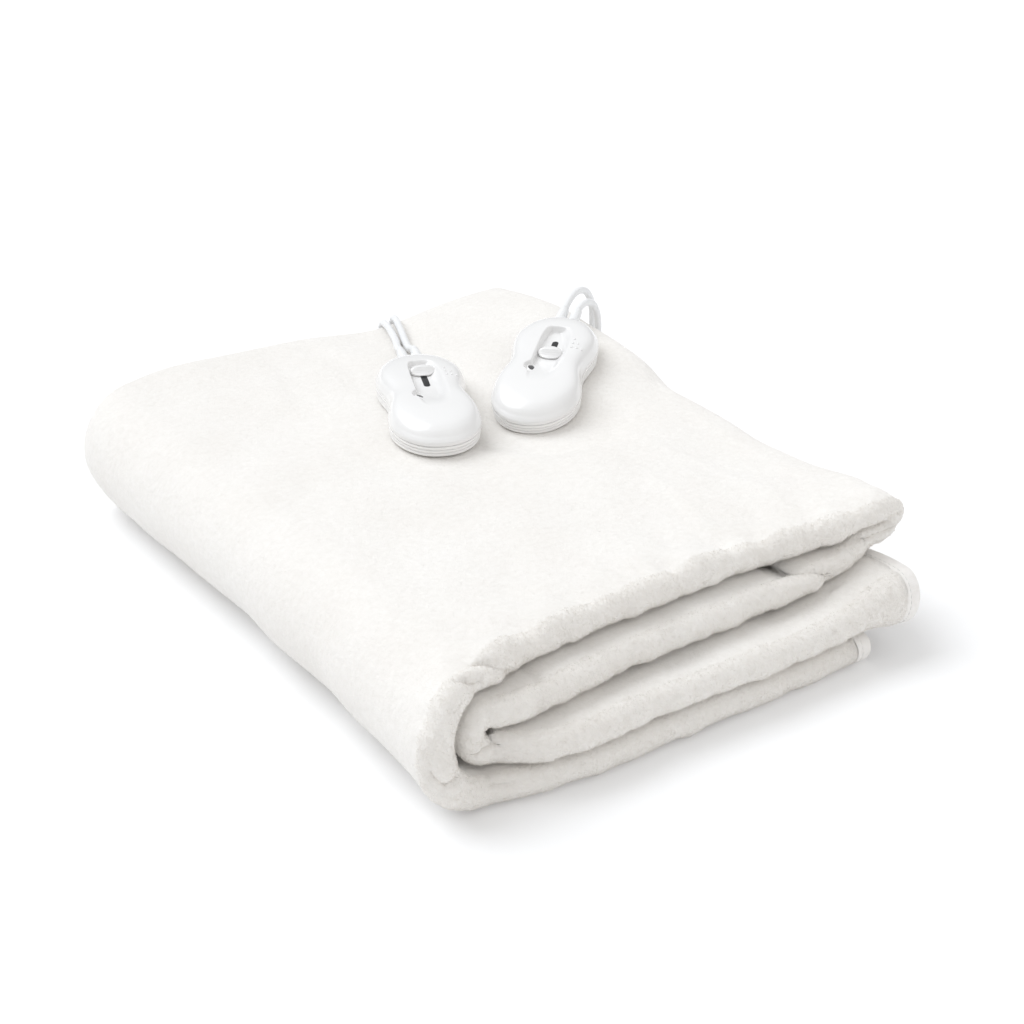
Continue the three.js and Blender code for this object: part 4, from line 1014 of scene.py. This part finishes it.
def knob_piece(side, c):
    """A half-moon thumb knob: a round back, a crisp crest and a hollow ribbed face."""
    turn = full_turn(72)
    floor = CHANNEL.floor + KNOB.lift

    def ring(x, y, z):
        return np.stack([c.knob + x, SLOT.across + y, z + 0 * turn], -1)

    rings = [ring(long * np.cos(turn), wide * np.sin(turn), z) for long, wide, z in
             ((3.6, 2.1, CHANNEL.floor + 0.2), (3.6, 2.1, floor), (6.3, 8.8, floor))]
    for reach in (1.0, 1.0, 0.985, 0.96, 0.93, 0.89, 0.84, 0.79, 0.73, 0.67, 0.6, 0.53, 0.46, 0.39, 0.32, 0.25,
                  0.18, 0.12, 0.06):
        x, y = KNOB.length / 2 * reach * np.cos(turn), KNOB.width / 2 * reach * np.sin(turn)
        dome = 1.2 + (KNOB.rise - 1.2) * np.maximum(1 - reach**3, 0) ** 0.45
        crest = 0.9 - 1.6 * (y / 9) ** 2
        drop = np.clip((x - crest) / 5.0, 0, 1)
        ribs = 0.16 * np.sin(2 * pi * drop * 4) * (drop > 0.12) * (drop < 0.88)
        face = 1.1 + (KNOB.rise - 1.1) * (1 - drop) ** 1.35 + ribs
        z = np.where(x > crest, np.minimum(dome, face), dome)
        z = z - 0.5 * (len(rings) == 3)
        rings.append(ring(x, y, floor + z))
    obj = mesh_object(f"{side}_thumb_knob", stacked_rings(rings), GLOSS_WHITE, *seat(c))
    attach(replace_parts(obj, f"{side}_knob"), f"{side}_slider")


def slot_and_lamp(side, c):
    top, edge, radius = 18.12, 0.1, SLOT.width / 2
    ends = ((SLOT.front - radius, -90), (SLOT.back + radius, 90))
    # A black pill level with the channel floor: painted shade where the slot opens into the body
    solid = stacked_rings([
        [(middle + (radius - inset) * cos(t), SLOT.across + (radius - inset) * sin(t), z)
         for middle, start in ends for t in (radians(start + 180 * k / 16) for k in range(17))]
        for z, inset in ((14.0, 0), (top - edge, 0), (top - edge / 3, edge / 3), (top, edge))])
    obj = mesh_object(f"{side}_slot_shade_pill", solid, SLOT_SHADE_BLACK, *seat(c))
    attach(obj, BODY)
    # A small window at the foot of the steep side: a lip round a dark lens that leans toward the channel. The lens is
    # smoked and made near black, partly its own tint and partly painted shade of the window's recess
    height = float(shell_height(LAMP.x + np.zeros(1), np.array([-4.5]))[0])
    middle = np.array([LAMP.x, LAMP.y, height + 0.35])

    def oval(out, grow):
        turn = full_turn(44)
        x, y = (LAMP.long / 2 + grow) * np.cos(turn), (LAMP.wide / 2 + grow) * np.sin(turn)
        return placed(np.stack([x, y, 0 * turn + out], -1), (-16, -6, 14), middle)

    def ovals(*rows):
        return [oval(out, grow) for out, grow in rows]

    solid = stacked_rings(ovals((-1.6, -0.3), (-0.2, -0.3), (-0.1, -0.6), (0.05, -1.3), (0.1, -2.3)))
    obj = mesh_object(f"{side}_lamp_lens", solid, LAMP_GREY_AND_SHADE, *seat(c))
    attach(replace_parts(obj, f"{side}_lamp"), BODY)
    solid = looped(ovals((-1.4, -0.35), (0, -0.3), (0.22, -0.1), (0.25, 0.2), (0.05, 0.55), (-0.8, 0.8), (-1.8, 0.85)))
    obj = mesh_object(f"{side}_lamp_ring", solid, GLOSS_WHITE, *seat(c))
    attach(obj, BODY)


def relief_piece(side, c, across, node, name):
    rows = [(RELIEF.length * k / 40, RELIEF.tip + (RELIEF.root - RELIEF.tip) * k / 40
             - (0.38 if 4 < k < 34 and k % 6 in (4, 5) else 0) - (0.35 if k == 0 else 0)) for k in range(41)]
    points, faces = turned(rows, 32)
    points = points + (RELIEF.start - RELIEF.length, across, RELIEF.height)
    obj = mesh_object(f"{side}_{name}", (points, faces), SLEEVE_WHITE, *seat(c))
    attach(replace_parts(obj, f"{side}_{node}"), BODY)


for side, c in CONTROLLERS.items():
    shell_piece(side, c)
    base_piece(side, c)
    knob_piece(side, c)
    slot_and_lamp(side, c)
    relief_piece(side, c, -RELIEF.across, "relief_mains", "mains_sleeve")
    relief_piece(side, c, RELIEF.across, "relief_blanket", "blanket_sleeve")


# Floor and light
FLOOR_REACH = 40000
WALL_LIGHT, CEILING_LIGHT = 0.42, 0.84


def stage_floor():
    material, *_ = shader("pale_floor", (0.88, 0.88, 0.883), 0.9, Specular_IOR_Level=0.1,
                          Emission_Color=(1, 1, 1, 1), Emission_Strength=0.08)
    n = 60
    x = np.linspace(-FLOOR_REACH, FLOOR_REACH, n)
    gx, gy = np.meshgrid(x + CENTRE[0], x + CENTRE[1], indexing="ij")
    points = np.stack([gx, gy, 0 * gx], -1).reshape(-1, 3)
    mesh_object("floor", (points, grid_faces(n, n)), material)


def sun(name, energy, spread, toward, colour=(1, 1, 1)):
    light = bpy.data.lights.new(name, "SUN")
    light.energy, light.angle, light.color = energy, radians(spread), colour
    linked(name, light).rotation_euler = Vector(toward).to_track_quat("Z", "Y").to_euler()


def room_light():
    """An even light that is stronger overhead than at the walls."""
    world = bpy.data.worlds.new("studio")
    scene.world = world
    world.use_nodes = True
    tree = world.node_tree
    direction = added(tree, "ShaderNodeTexCoord").outputs["Generated"]
    up = added(tree, "ShaderNodeSeparateXYZ", Vector=direction).outputs["Z"]
    sky = added(tree, "ShaderNodeMapRange", To_Min=WALL_LIGHT, To_Max=CEILING_LIGHT, Value=up)
    fed(tree, tree.nodes["Background"], Color=(1, 1, 1, 1), Strength=sky.outputs["Result"])


stage_floor()
room_light()
sun("key_light", 1.84, 50, (-0.34, 0.50, 0.79), (0.935, 0.965, 1.0))
sun("fill_light", 0.50, 70, (0.30, -0.85, 0.40))
scene.view_settings.view_transform = "Standard"
scene.view_settings.look = "None"
